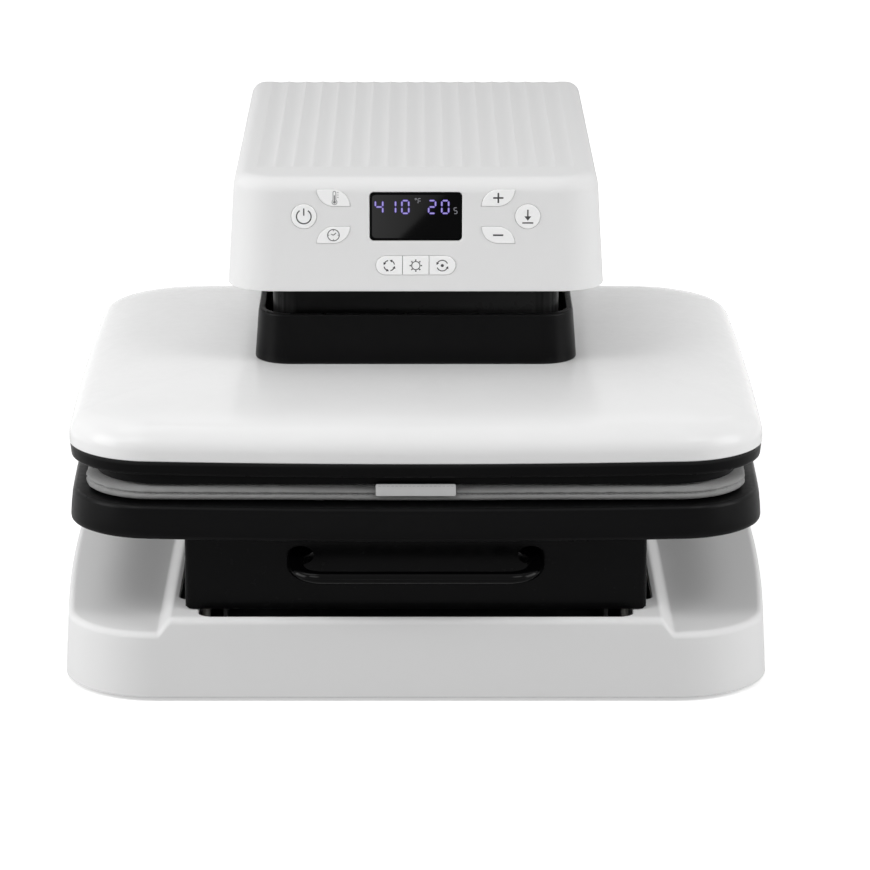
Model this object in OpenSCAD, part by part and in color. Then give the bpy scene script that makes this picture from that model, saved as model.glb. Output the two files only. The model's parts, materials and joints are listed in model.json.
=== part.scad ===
// Automatic heat press: a motor lowers a heated upper platen onto a padded
// lower platen that pulls out on a drawer. Millimetres, +X right, +Y back,
// +Z up, origin on the table under the centre of the machine. The model
// stands closed, with the upper platen just clear of the pad.

/* [Platens] */
// Side of the square heated plate
plate_size = 381; // [360:1:400]
// Thickness of the heated plate
plate_t = 10.5; // [8:0.5:12]
// Upper platen border beside the heated plate
side_border = 15; // [12:0.5:18]
// Upper platen border in front of and behind the middle of the heated plate
end_border = 10.5; // [10:0.5:14]
// Radius of the platens' front corners, seen from above
platen_r = 47; // [42:1:56]
// Radius of the platens' back corners, seen from above
platen_back_r = 56; // [44:1:57]
// How far the upper platen's front and back bow outwards
end_bow = 10; // [0:0.5:11]
// How far the upper platen's sides bow outwards
side_bow = 2.6; // [0:0.2:5]
// Height of the glossy cover above its black rim
cover_h = 27.5; // [26:0.5:34]
// Height of the black rim
rim_h = 8.7; // [7:0.1:11]
// Wall of the glossy cover
cover_wall = 2.5; // [2:0.1:3]
// Thickness of the quilted pad
pad_t = 10.3; // [8:0.1:14]
// Height of the lower platen
tray_h = 20; // [16:0.5:26]
// Clearance between the heated plate and the pad
press_gap = 0.35; // [0.3:0.05:2]

/* [Base] */
// Width of the base at the table, across the middle of its bowed sides
base_w = 434; // [428:1:448]
// How far the base's sides bow outwards
base_bow = 11; // [0:0.2:13]
// Radius of the base's front corners, seen from above
base_r = 51; // [40:1:64]
// Height of the side decks above the table
deck_z = 42; // [38:0.5:48]
// Rise of the middle of the base above the side decks
step_h = 9; // [6:0.5:12]
// Half width of the raised middle
step_hw = 144; // [140:0.5:150]
// Gap under the base, left by the rubber feet
foot_gap = 2.5; // [2:0.1:5]
// Diameter of a rubber foot
foot_d = 26; // [18:1:34]
// Wall of the white mouldings
wall = 3; // [2.4:0.1:3.4]

/* [Drawer] */
// Width of the drawer front
drawer_w = 273; // [268:1:276]
// Height of the drawer front below the lower platen
drawer_h = 46; // [44:0.5:56]
// Distance from the base's front edge back to the drawer front
drawer_set = 19.5; // [16:0.5:24]
// Wall of the drawer box
box_wall = 3; // [2.5:0.1:4]
// Width of the handle
handle_w = 152; // [120:1:180]
// Distance from the drawer front to the middle of the handle's bar
handle_reach = 28; // [22:0.5:34]
// Length of each telescopic rail
rail_len = 340; // [320:1:350]

/* [Column and head] */
// Depth of the rear column
column_d = 46.5; // [44:0.5:60]
// Gap between the platens and the column
column_gap = 2.5; // [2:0.5:8]
// Width of the head at its lower edge
head_w = 228.8; // [224:0.2:240]
// Height of the head
head_h = 69.2; // [68:0.2:80]
// Distance from the platen's front edge back to the head's front
head_set = 112; // [102:1:118]
// Radius of the head's front corners
head_r = 28; // [16:1:34]
// Radius round the head's top edge
head_fillet = 9; // [6:0.5:12]
// Pitch of the flutes on top of the head
rib_pitch = 11.4; // [8:0.1:14]
// Number of flutes
rib_count = 17; // [9:1:17]
// Depth of the flutes between the ribs
rib_depth = 0.8; // [0.4:0.1:1.2]

/* [Lift] */
// Travel of the upper platen
lift_travel = 18; // [12:0.5:20]
// Width of the outer sleeve at its foot
sleeve_w = 197.6; // [190:0.2:204]
// Depth of the outer sleeve at its foot
sleeve_d = 140; // [130:1:160]
// Height of the outer sleeve
sleeve_h = 30.7; // [28:0.1:34]
// Diameter of the lead screw
screw_d = 16; // [12:1:18]
// Diameter of a guide rod
rod_d = 12; // [8:1:14]
// Guide rods, half distance across
rod_x = 62; // [50:1:66]
// Guide rods, half distance front to back
rod_y = 38; // [32:1:42]
// Teeth of the nut gear
gear_teeth = 40; // [30:1:44]
// Teeth of the motor pinion
pinion_teeth = 12; // [12:1:16]
// Module of the gear pair
gear_module = 1.5; // [1.25:0.25:1.5]

/* [Control panel] */
// Width of the display window
display_w = 55.4; // [44:0.2:60]
// Height of the display window
display_h = 29.4; // [22:0.2:30]
// Diameter of the round buttons
round_button_d = 15.1; // [10:0.1:17]
// Width of a leaf-shaped button
leaf_w = 20; // [14:0.1:22]
// Height of a leaf-shaped button
leaf_h = 10.4; // [8:0.1:12]
// Width of the row of three preset buttons
preset_w = 48; // [36:0.5:56]
// Height of the row of preset buttons
preset_h = 11.6; // [8:0.1:13]
// Travel of a button
button_travel = 1; // [0.5:0.1:1.2]

/* [Hidden] */

$fn = 48;
// Seat between parts that rest on each other or move past each other
seat = 0.3;
// Overlap that makes a cut come out clean
cut = 0.5;

// Plan sizes, from the plate outwards
platen_w = plate_size + 2 * side_border;
platen_d = plate_size + 2 * end_border;
tray_lead = 6.5;
tray_bow = 11;
base_flare = 1.7;
bar_a = 4.9;
bar_b = 3.6;
base_d = tray_lead + platen_d + column_gap + column_d + 1;
handle_over = handle_reach + bar_a - drawer_set;
front_y = (handle_over - base_d) / 2;
back_y = front_y + base_d;
base_y = (front_y + back_y) / 2;
platen_front = front_y + tray_lead + 1;
platen_back = platen_front + platen_d;
press_y = (platen_front + platen_back) / 2;
column_front = platen_back + column_gap;
head_front = platen_front + head_set;

// Heights, from the table upwards
step_z = deck_z + step_h;
drawer_z = step_z + 0.6;
tray_z = drawer_z + drawer_h;
tray_top = tray_z + tray_h;
pad_z = tray_top + seat;
pad_top = pad_z + pad_t;
plate_z = pad_top + press_gap;
plate_top = plate_z + plate_t;
plate_lip = 6.2;
rim_z = plate_z + plate_lip;
cover_z = rim_z + rim_h;
crown_z = cover_z + cover_h;
sleeve_top = crown_z + sleeve_h;
head_z = sleeve_top + lift_travel + 1.4;
head_top = head_z + head_h;

// Colours, as the photograph shows them
white_gloss = [0.93, 0.93, 0.93];
white_satin = [0.88, 0.88, 0.88];
black_satin = [0.09, 0.09, 0.09];
black_gloss = [0.03, 0.03, 0.03];
steel = [0.62, 0.64, 0.66];
zinc = [0.75, 0.75, 0.72];
board_green = [0.10, 0.35, 0.18];
pad_grey = [0.78, 0.78, 0.77];

// Rounded rectangle centred on the origin, with true arcs
module rrect(w, d, r) {
    square([w - 2 * r, d], center = true);
    square([w, d - 2 * r], center = true);
    for (sx = [-1, 1], sy = [-1, 1])
        translate([sx * (w / 2 - r), sy * (d / 2 - r)]) circle(r);
}

// Slot with round ends, w long and d wide
module slot(w, d) {
    square([w - d, d], center = true);
    for (s = [-1, 1]) translate([s * (w - d) / 2, 0]) circle(d = d);
}

// Rounded rectangle from y0 to y1, with its own radii in front and behind
module rrect_span(w, y0, y1, rf, rb) {
    translate([-w / 2 + rf, y0]) square([w - 2 * rf, rf + 1]);
    translate([-w / 2 + rb, y1 - rb - 1]) square([w - 2 * rb, rb + 1]);
    translate([-w / 2, y0 + rf]) square([w, y1 - y0 - rf - rb]);
    for (s = [-1, 1]) {
        translate([s * (w / 2 - rf), y0 + rf]) circle(rf);
        translate([s * (w / 2 - rb), y1 - rb]) circle(rb);
    }
}

// Points of one rounded-rectangle ring at height z, counter-clockwise from above
function ring(w, y0, y1, rf, rb, z, n = 8) = [
    for (c = [0 : 3], i = [0 : n])
        let (a = 90 * (c + i / n), r = c < 2 ? rb : rf, sx = (c == 0 || c == 3) ? 1 : -1)
        [sx * (w / 2 - r) + r * cos(a), (c < 2 ? y1 - r : y0 + r) + r * sin(a), z]
];

// A ring whose straights bow outwards: w is taken at the corners, y0 and y1 at the middle,
// bow is [sides, front, back], and each straight is cut into m
function bowed(w, y0, y1, rf, rb, z, bow, m = 6) =
    let (s0 = y0 + bow[1], s1 = y1 - bow[2], plain = ring(w, s0, s1, rf, rb, z), k = len(plain),
         dense = [for (j = [0 : k - 1]) each j % 9 < 8 ? [plain[j]] :
            [for (i = [0 : m - 1]) plain[j] + (plain[(j + 1) % k] - plain[j]) * i / m]])
    [for (p = dense) let (u = (2 * p[1] - s0 - s1) / (s1 - s0), v = 2 * p[0] / w)
        [p[0] + sign(p[0]) * bow[0] * (1 - u * u) * v * v,
         p[1] + sign(u) * (u < 0 ? bow[1] : bow[2]) * (1 - v * v) * u * u, z]];

// The same ring, drawn in by t on every side; back_t draws the back in more
function inset_bowed(w, y0, y1, rf, rb, z, t, bow, back_t = 1) =
    bowed(w - 2 * t, y0 + t, y1 - back_t * t, max(rf - t, 1), max(rb - t, 1), z, bow);

// Plan of a ring
module plan_of(points) {
    polygon([for (p = points) [p[0], p[1]]]);
}

// Skin over a list of rings: closed by end caps, or on itself if loop is true.
// A cap fans out from a corner's middle, which no straight of the ring points at
module loft(rings, loop = false) {
    n = len(rings[0]);
    m = len(rings);
    apex = 4;
    end = (m - 1) * n;
    side = [for (i = [0 : loop ? m - 1 : m - 2], j = [0 : n - 1])
        let (a = i * n + j, b = i * n + (j + 1) % n,
             d = ((i + 1) % m) * n + j, c = ((i + 1) % m) * n + (j + 1) % n)
        each [[a, d, c], [a, c, b]]];
    caps = loop ? [] : [for (j = [1 : n - 2]) let (a = (apex + j) % n, b = (apex + j + 1) % n)
        each [[apex, a, b], [end + apex, end + b, end + a]]];
    polyhedron(points = [for (r = rings) each r], faces = concat(side, caps), convexity = 8);
}

// A 2-D outline in the plane of the front panel, extruded backwards from y
module from_front(y, t) {
    translate([0, y, 0]) rotate([90, 0, 0]) mirror([0, 0, 1]) linear_extrude(t) children();
}

// A 2-D side profile, its x being Y and its y being Z, extruded across the machine
module across(x0, x1) {
    translate([x0, 0, 0]) rotate([90, 0, 90]) linear_extrude(x1 - x0) children();
}

// Hexagon across flats f
module hexagon(f) {
    circle(d = f / cos(30), $fn = 6);
}

// Base: white moulding with two low side decks and a raised middle
base_back_r = 24;
base_straight = base_w - 2 * base_bow;
deck_fillet = 4;
recess_hw = 128.5;
ridge_foot = step_hw + step_h;
recess_front = front_y + 6.2;
recess_r = 9;
recess_back = column_front - 14;
// Behind the drawer's front the recess is wider, beside the drawer
bay_hw = step_hw - 3;
bay_front = front_y + drawer_set + 21;
bay_r = 6;

module base_form(t) {
    z0 = t == 0 ? foot_gap : foot_gap - 1;
    // Front and sides lean in by e; the back stays upright under the column
    function base_ring(z, e) = bowed(base_straight - 2 * (t + e), front_y + t + e, back_y - t,
        base_r - t - e, base_back_r - t - e, z, [base_bow, 0, 0]);
    loft(concat(
        [base_ring(z0, 0), base_ring(deck_z - deck_fillet - t, base_flare)],
        [for (i = [1 : 4]) let (a = 22.5 * i)
            base_ring(deck_z - t - deck_fillet * (1 - sin(a)), base_flare + deck_fillet * (1 - cos(a)))]));
}

// Front face of the raised middle, in line with the flared front of the base
function face_y(z) = front_y + base_flare * (z - foot_gap) / (deck_z - deck_fillet - foot_gap);

module step_profile(t) {
    r = 4.5;
    z1 = step_z - t;
    y1 = face_y(z1) + t;
    z0 = deck_z - deck_fillet - 8;
    polygon(concat(
        [[column_front + 6, z0], [face_y(z0) + t, z0]],
        [for (i = [0 : 6]) let (a = 15 * i) [y1 + r * (1 - cos(a)), z1 - r * (1 - sin(a))]],
        [[column_front + 6, z1]]));
}

module step_form(t) {
    intersection() {
        across(-ridge_foot - 1, ridge_foot + 1) step_profile(t);
        rotate([90, 0, 0]) translate([0, 0, -back_y]) linear_extrude(base_d)
            polygon([[-ridge_foot + t, deck_z - deck_fillet - 9], [ridge_foot - t, deck_z - deck_fillet - 9],
                [ridge_foot - t, deck_z - t], [step_hw - t / 2, step_z - t],
                [-step_hw + t / 2, step_z - t], [-ridge_foot + t, deck_z - t]]);
    }
}

// Screw bosses that tie the base shell to its plate
base_boss_x = base_w / 2 - 38.5;
base_boss_y = [front_y + 56, press_y - 40, press_y + 84, back_y - 60];

module base_shell() {
    color(white_gloss) {
        difference() {
            union() {
                base_form(0);
                step_form(0);
            }
            base_form(wall);
            step_form(wall);
            // Recess for the drawer's bed
            translate([0, 0, foot_gap]) linear_extrude(step_z) {
                rrect_span(2 * recess_hw, recess_front, recess_back, recess_r, 4);
                rrect_span(2 * bay_hw, bay_front, recess_back, bay_r, 4);
            }
            // Column opening, where the steel frame comes up
            translate([0, 0, deck_z - wall - 6]) linear_extrude(step_h + wall + 8)
                rrect_span(head_w - 2 * wall - 2, column_front + wall + 1, back_y - wall - 4, 4, 4);
        }
        intersection() {
            base_form(0.2);
            for (s = [-1, 1], y = base_boss_y)
                translate([s * base_boss_x, y, foot_gap + 3]) difference() {
                    cylinder(h = deck_z, d = 10);
                    translate([0, 0, -1]) cylinder(h = 14, d = 3.2);
                }
        }
    }
}

// Steel plate that closes the base underneath
plate_under_z = foot_gap + 1;
sheet = 1.5;
plate_play = 0.8;
foot_x = base_w / 2 - 54;
foot_y = base_d / 2 - 46;

module base_plate() {
    color(black_satin) difference() {
        translate([0, 0, plate_under_z]) linear_extrude(sheet) difference() {
            plan_of(inset_bowed(base_straight, front_y, back_y, base_r, base_back_r, 0, wall + plate_play,
                [base_bow, 0, 0]));
            for (s = [-1, 1], y = base_boss_y)
                translate([s * base_boss_x, y]) circle(d = 3.6);
            for (s = [-1, 1], t = [-1, 1])
                translate([s * foot_x, base_y + t * foot_y]) circle(d = 4.4);
            // Ventilation slots
            for (s = [-1, 1], i = [-6 : 6])
                translate([s * 60, i * 9 + 70]) slot(70, 3.2);
        }
    }
}

module rubber_feet() {
    color(black_satin)
    for (s = [-1, 1], t = [-1, 1])
        translate([s * foot_x, base_y + t * foot_y, 0]) {
            rotate_extrude() polygon([[3.2, 1.2], [4.6, 1.2], [4.6, 0], [foot_d / 2 - 0.8, 0],
                [foot_d / 2, 0.8], [foot_d / 2 - 1.2, plate_under_z], [3.2, plate_under_z]]);
            // Spigot that snaps through the plate
            translate([0, 0, 1.2]) cylinder(h = plate_under_z - 1.2 + sheet, d = 4.3);
            translate([0, 0, 1.2]) cylinder(h = 1.2, d = 6.5);
            translate([0, 0, plate_under_z + sheet]) cylinder(h = 1.6, d = 6.4);
        }
}

// Bed that carries the drawer rails, folded from sheet steel
bed_z = deck_z - 4;
bed_t = 2;
bed_hw = recess_hw - 1;
rail_front = front_y + 24;
rail_h = 36;
rail_z = drawer_z + 4;
flange_x = 112;

module slide_bed() {
    color(black_satin) difference() {
        union() {
            translate([0, 0, bed_z]) linear_extrude(bed_t) {
                rrect_span(2 * bed_hw, recess_front + 1, recess_back - 1, recess_r - 1, 3);
                rrect_span(2 * bay_hw - 2, bay_front + 1, recess_back - 1, bay_r - 1, 3);
            }
            for (s = [-1, 1])
                translate([s * (flange_x + 1), rail_front + rail_len / 2, 0])
                    translate([-1, -rail_len / 2, bed_z + bed_t])
                        cube([2, rail_len, rail_z + rail_h - bed_z - bed_t]);
        }
        // Lightening holes and rail screw holes
        for (i = [-2 : 2], s = [-1, 1])
            translate([s * 52, press_y + i * 62, bed_z - 1]) cylinder(h = bed_t + 2, d = 38);
        for (s = [-1, 1], i = [0 : 3])
            translate([s * (flange_x + 1), rail_front + 30 + i * (rail_len - 60) / 3, rail_z + rail_h / 2])
                rotate([0, 90, 0]) cylinder(h = 6, d = 4.2, center = true);
    }
}

// Telescopic rails: a fixed, a middle and a drawer member on each side
rail_t = 1.4;
fixed_w = 11;
rail_x = flange_x + 2;

// C section that opens towards +x
module rail_channel(w, h) {
    difference() {
        rrect(w, h, 1);
        translate([rail_t, 0]) square([w, h - 2 * rail_t], center = true);
    }
}

// A pair of rails, one each side; side is 1 if they open outwards and -1 if inwards
module rail_pair(x, w, h, side) {
    for (s = [-1, 1])
        translate([s * x, rail_front, rail_z + rail_h / 2]) rotate([90, 0, 0]) mirror([0, 0, 1])
            linear_extrude(rail_len) mirror([s * side < 0 ? 1 : 0, 0]) rail_channel(w, h);
}

module slide_rails_fixed() {
    color(zinc) difference() {
        rail_pair(rail_x + fixed_w / 2, fixed_w, rail_h, 1);
        for (s = [-1, 1], i = [0 : 3])
            translate([s * rail_x, rail_front + 30 + i * (rail_len - 60) / 3, rail_z + rail_h / 2])
                rotate([0, 90, 0]) cylinder(h = 6, d = 4.2, center = true);
    }
}

middle_h = rail_h - 2 * rail_t - 2 * seat;
middle_t = 2;
drawer_rail_h = middle_h - 2 * middle_t - 2 * seat;

// Middle member: an I section that runs inside the fixed channel and over the drawer's
module slide_rails_middle() {
    color(steel) for (s = [-1, 1])
        translate([s * (rail_x + 9.3), rail_front + 2, rail_z + rail_h / 2])
            rotate([90, 0, 0]) mirror([0, 0, 1]) linear_extrude(rail_len - 4) {
                square([1.6, middle_h - 1], center = true);
                for (t = [-1, 1])
                    translate([0, t * (middle_h - middle_t) / 2]) square([10, middle_t], center = true);
            }
}

drawer_rail_w = 7.4;
drawer_rail_x = drawer_w / 2 - box_wall - drawer_rail_w / 2;

module slide_rails_drawer() {
    color(zinc) rail_pair(drawer_rail_x, drawer_rail_w, drawer_rail_h, -1);
}

// Nylon strips that the drawer box slides on
module glide_strips() {
    color([0.9, 0.9, 0.86]) for (s = [-1, 1])
        translate([s * (recess_hw - 4), 0, bed_z + bed_t]) linear_extrude(drawer_z - seat - bed_z - bed_t)
            rrect_span(5, rail_front + 4, rail_front + rail_len - 6, 2.4, 2.4);
}

// Welded C-shaped frame: it carries the pressing force round from base to head
frame_x = 92;
frame_t = 5;
frame_foot_z = plate_under_z + sheet;
arm_z = head_z + 10;
arm_top = head_top - 9;
arm_front = press_y - 60;
post_front = column_front + wall + 3;
cover_y = back_y - wall - 3;
post_back = cover_y - 10.5;

module frame_side_plates() {
    color(steel) for (s = [-1, 1])
        translate([s > 0 ? frame_x : -frame_x - frame_t, 0, 0]) difference() {
            across(0, frame_t) polygon([
                [front_y + 60, frame_foot_z], [post_back, frame_foot_z], [post_back, arm_top],
                [arm_front + 14, arm_top], [arm_front, arm_top - 14], [arm_front, arm_z],
                [post_front, arm_z], [post_front, bed_z],
                [front_y + 70, bed_z], [front_y + 60, bed_z - 10]]);
            for (i = [0 : 4])
                translate([-1, (post_front + post_back) / 2, bed_z + 24 + i * (arm_z - bed_z) / 5])
                    rotate([0, 90, 0])
                    cylinder(h = frame_t + 2, d = 12);
            for (i = [0 : 3])
                translate([-1, front_y + 100 + i * 70, (frame_foot_z + bed_z) / 2]) rotate([0, 90, 0])
                    cylinder(h = frame_t + 2, d = 18);
        }
}

// Bars welded between the side plates
module frame_cross_bars() {
    color(steel) {
        for (y = [front_y + 78, press_y - 50, press_y + 60, press_y + 140])
            translate([-frame_x, y, frame_foot_z]) difference() {
                cube([2 * frame_x, 24, bed_z - frame_foot_z]);
                translate([-1, 3, 3]) cube([2 * frame_x + 2, 18, bed_z - frame_foot_z]);
            }
        for (z = [port_z + 26, arm_z - 50])
            translate([-frame_x, post_back - 4, z]) cube([2 * frame_x, 4, 40]);
        translate([-frame_x, post_back - 24, arm_z + 6]) cube([2 * frame_x, 24, 4]);
        translate([-frame_x, arm_front + 16, arm_top - 4]) cube([2 * frame_x, 16, 4]);
    }
}

// Column: white casing round the steel posts, closed behind by the rear cover
module column_plan(t) {
    rrect_span(head_w - 2 * t, column_front + t, back_y - 0.2 - t, max(12 - t, 1), max(10 - t, 1));
}

module column_shell() {
    open_w = cover_w + 2 * seat;
    open_h = cover_z1 - cover_z0 + 2 * seat;
    mid_z = (cover_z0 + cover_z1) / 2;
    ledge_y = cover_y - seat;
    color(white_satin) {
        difference() {
            union() {
                translate([0, 0, deck_z]) linear_extrude(head_z - deck_z) difference() {
                    column_plan(0);
                    column_plan(wall);
                }
                // Pocket that the rear cover drops into
                translate([0, 0, mid_z]) from_front(ledge_y - ledge_t, back_y - 1 - ledge_y + ledge_t)
                    rrect(open_w + 2 * ledge_t, open_h + 2 * ledge_t, 4 + ledge_t);
            }
            // Seat of the raised middle of the base
            translate([-step_hw, column_front - 1, deck_z - 1]) cube([2 * step_hw, 8, step_h + 1.2]);
            translate([0, 0, mid_z]) {
                from_front(ledge_y, 14) rrect(open_w, open_h, 4);
                from_front(ledge_y - ledge_t - 1, 8) rrect(open_w - 2 * ledge_w, open_h - 2 * ledge_w, 3);
            }
            for (s = [-1, 1], z = cover_screw_z)
                translate([s * cover_screw_x, ledge_y - ledge_t - 1, z]) rotate([-90, 0, 0])
                    cylinder(h = ledge_t + 2, d = 3.2);
        }
        // Screw bosses in front of the ledge
        for (s = [-1, 1], z = cover_screw_z)
            translate([s * cover_screw_x, ledge_y - 8, z]) rotate([-90, 0, 0]) difference() {
                cylinder(h = 8 - ledge_t + 0.4, d = 8);
                translate([0, 0, -1]) cylinder(h = 10, d = 3.2);
            }
    }
}

cover_w = head_w - 30.6;
cover_z0 = deck_z + 10.3;
cover_z1 = head_z - 10.3;
inlet_x = 62;
switch_x = 22;
port_z = deck_z + 34;
cover_screw_x = cover_w / 2 - 8;
cover_screw_z = [cover_z0 + 9, (cover_z0 + cover_z1) / 2, cover_z1 - 9];
ledge_t = 2.5;
ledge_w = 14;

// Row of flutes along +Z, hollowed from the face y = 0, with a sharp rib between each two
module flutes(len) {
    r = (pow(rib_pitch / 2, 2) + pow(rib_depth, 2)) / (2 * rib_depth);
    for (i = [0 : rib_count - 1])
        translate([(i - (rib_count - 1) / 2) * rib_pitch, r - rib_depth, 0])
            intersection() {
                cylinder(h = len, r = r, $fn = 128);
                translate([-rib_pitch / 2, -r, 0]) cube([rib_pitch, r, len]);
            }
}

module rear_cover() {
    color(white_satin) difference() {
        translate([0, 0, (cover_z0 + cover_z1) / 2]) from_front(cover_y, wall)
            rrect(cover_w, cover_z1 - cover_z0, 4);
        // Louvres
        for (s = [-1, 1], i = [0 : 9])
            translate([s * 42, 0, cover_z0 + 62 + i * 7]) from_front(cover_y - 1, wall + 2) slot(56, 3.2);
        // Ports
        translate([inlet_x, 0, port_z]) from_front(cover_y - 1, wall + 2) rrect(28, 21, 2.5);
        translate([switch_x, 0, port_z]) from_front(cover_y - 1, wall + 2) rrect(19.6, 13.4, 1);
        for (s = [-1, 1], z = cover_screw_z)
            translate([s * cover_screw_x, cover_y - 1, z]) rotate([-90, 0, 0]) {
                cylinder(h = wall + 2, d = 3.6);
                translate([0, 0, 1 + wall - 1.8]) cylinder(h = 4, d = 7);
            }
    }
}

// Head: white moulded casing, ribbed on top, with the control panel in front
head_draft = 3.6;
head_lean = 0.8;

function head_ring(z, t, w_in, y_in) =
    ring(head_w - 2 * w_in - 2 * t, head_front + y_in + t, back_y - 0.2 - t,
        max(head_r - t, 2), max(10 - t, 2), z);

module head_form(t) {
    zt = head_top - t;
    fr = t == 0 ? head_fillet : max(head_fillet - t - 2.5, 1);
    z0 = t == 0 ? head_z : head_z - 1;
    zf = zt - fr;
    loft(concat(
        [head_ring(z0, t, 0, 0)],
        [for (i = [0 : 5]) let (a = 18 * i)
            head_ring(zf + fr * sin(a), t + fr * (1 - cos(a)), head_draft, head_lean)]));
}

// Places on the control panel, as distances from its middle and above the head's lower edge
panel_y = head_front;
display_z = head_z + 46;
panel_mid_z = display_z + 0.2;
round_x = 67.4;
leaf_x = 49.6;
leaf_z = 11.4;
preset_z = head_z + 16.1;
button_gap = 0.25;
button_proud = 0.5;
glass_t = 2.4;

// Front of the panel at height z
function panel_at(z) = panel_y + head_lean * (z - head_z) / (head_h - head_fillet);

// Leaf outline with two pointed and two rounded corners
module leaf(w, h) {
    r = h;
    intersection() {
        union() {
            translate([-w / 2, -h / 2]) square([w - r, h]);
            translate([w / 2 - r, h / 2 - r]) circle(r, $fn = 96);
        }
        union() {
            translate([-w / 2 + r, -h / 2]) square([w - r, h]);
            translate([-w / 2 + r, -h / 2 + r]) circle(r, $fn = 96);
        }
        square([w, h], center = true);
    }
}

// Upper leaves point up and outwards, lower leaves down and outwards
module leaf_at(sx, sz, grow) {
    translate([sx * leaf_x, panel_mid_z + sz * leaf_z]) mirror([sx * sz < 0 ? 1 : 0, 0])
        leaf(leaf_w + 2 * grow, leaf_h + 2 * grow);
}

module round_at(sx, grow) {
    translate([sx * round_x, panel_mid_z]) circle(d = round_button_d + 2 * grow);
}

// One of the three presets: i is -1, 0 or 1
module preset_at(i, grow) {
    w = preset_w / 3;
    x0 = -preset_w / 2 + (i + 1) * w;
    translate([0, preset_z]) intersection() {
        slot(preset_w + 2 * grow, preset_h + 2 * grow);
        translate([x0 + (i > -1 ? button_gap - grow : -1), -preset_h])
            square([w - (i > -1 ? button_gap - grow : -1) + (i < 1 ? grow - button_gap : 1), 2 * preset_h]);
    }
}

module panel_cuts() {
    translate([0, display_z]) rrect(display_w + 0.4, display_h + 0.4, 2.6);
    for (sx = [-1, 1], sz = [-1, 1]) leaf_at(sx, sz, button_gap);
    for (sx = [-1, 1]) round_at(sx, button_gap);
    translate([0, preset_z]) slot(preset_w + 2 * button_gap, preset_h + 2 * button_gap);
}

module head_shell() {
    color(white_satin) difference() {
        head_form(0);
        head_form(wall);
        // Flutes along the top, open at the back, with a plain border in front
        translate([0, head_front + 38, head_top]) rotate([-90, 0, 0]) mirror([0, 1, 0]) flutes(base_d);
        // Display and buttons
        translate([0, 0, 0]) from_front(panel_y - 2, wall + 6) panel_cuts();
    }
    // Bosses for the control board, and posts that stand on the frame's arms
    color(white_satin) {
        for (sx = [-1, 1], z = board_boss_z)
            translate([sx * board_boss_x, panel_y + wall, z]) rotate([-90, 0, 0]) difference() {
                cylinder(h = board_y - panel_y - wall, d = 6);
                translate([0, 0, board_y - panel_y - wall - 6]) cylinder(h = 7, d = 2.2);
            }
        for (sx = [-1, 1], y = [arm_front + 24, post_front - 20])
            translate([sx * (frame_x + frame_t / 2), y, arm_top])
                cylinder(h = head_top - wall - arm_top + 0.5, d = 8);
        for (sx = [-1, 1], y = under_screw_y)
            translate([sx * under_screw_x, y, head_z + 0.4 + wall]) difference() {
                cylinder(h = head_top - wall - head_z - wall, d = 8);
                translate([0, 0, -1]) cylinder(h = 12, d = 3.2);
            }
    }
}

// Cover under the head, with the opening for the sleeve
sleeve_gap = 4.8;
sleeve_wall = 4;
sleeve_taper = 2.2;
sleeve_r = 22;
inner_w = sleeve_w - 2 * (sleeve_taper + sleeve_wall + sleeve_gap);
inner_d = sleeve_d - 2 * (sleeve_taper + sleeve_wall + sleeve_gap);
inner_r = 15;
inner_wall = 2.5;
inner_z = crown_z + lift_travel + 1.5;
under_screw_x = head_w / 2 - 10;
under_screw_y = [head_front + 20, column_front - 14];

module head_underside() {
    color(white_satin) translate([0, 0, head_z + 0.4]) linear_extrude(wall) difference() {
        rrect_span(head_w - 2 * wall - 0.8, head_front + wall + 0.4, column_front + wall + 2,
            head_r - wall, 2);
        translate([0, press_y]) rrect(inner_w + 0.4, inner_d + 0.4, inner_r);
        for (s = [-1, 1], y = under_screw_y) translate([s * under_screw_x, y]) circle(d = 3.6);
    }
}

module inner_sleeve() {
    color(black_satin) {
        translate([0, press_y, inner_z]) linear_extrude(head_z + 0.4 + wall - inner_z) difference() {
            rrect(inner_w, inner_d, inner_r);
            rrect(inner_w - 2 * inner_wall, inner_d - 2 * inner_wall, inner_r - inner_wall);
        }
        // Flange that hangs the sleeve in the head
        translate([0, press_y, head_z + 0.4 + wall]) linear_extrude(1.5) difference() {
            rrect(inner_w + 12, inner_d + 12, inner_r + 6);
            rrect(inner_w - 2 * inner_wall, inner_d - 2 * inner_wall, inner_r - inner_wall);
        }
    }
}

module display_window() {
    y = panel_at(display_z) + 0.5;
    color(black_gloss) {
        from_front(y, flange_y - y) translate([0, display_z]) rrect(display_w, display_h, 2.4);
        from_front(flange_y, 1) translate([0, display_z]) rrect(display_w + 5, display_h + 3, 2);
    }
}

// Boards behind the panel
board_y = panel_y + head_lean + wall + 9;
board_t = 1.6;
board_boss_x = 79;
board_boss_z = [head_z + 12, head_z + 56];
board_edge = 5;

module display_module() {
    color([0.12, 0.12, 0.13])
        from_front(flange_y + 1, board_y - flange_y - 1)
            translate([0, display_z]) square([display_w - 4, display_h - 5], center = true);
}

switch_w = 6;

module switch_places() {
    for (sx = [-1, 1], sz = [-1, 1]) translate([sx * leaf_x, panel_mid_z + sz * leaf_z]) children();
    for (sx = [-1, 1]) translate([sx * round_x, panel_mid_z]) children();
    for (i = [-1 : 1]) translate([i * preset_w / 3, preset_z]) children();
}

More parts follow.
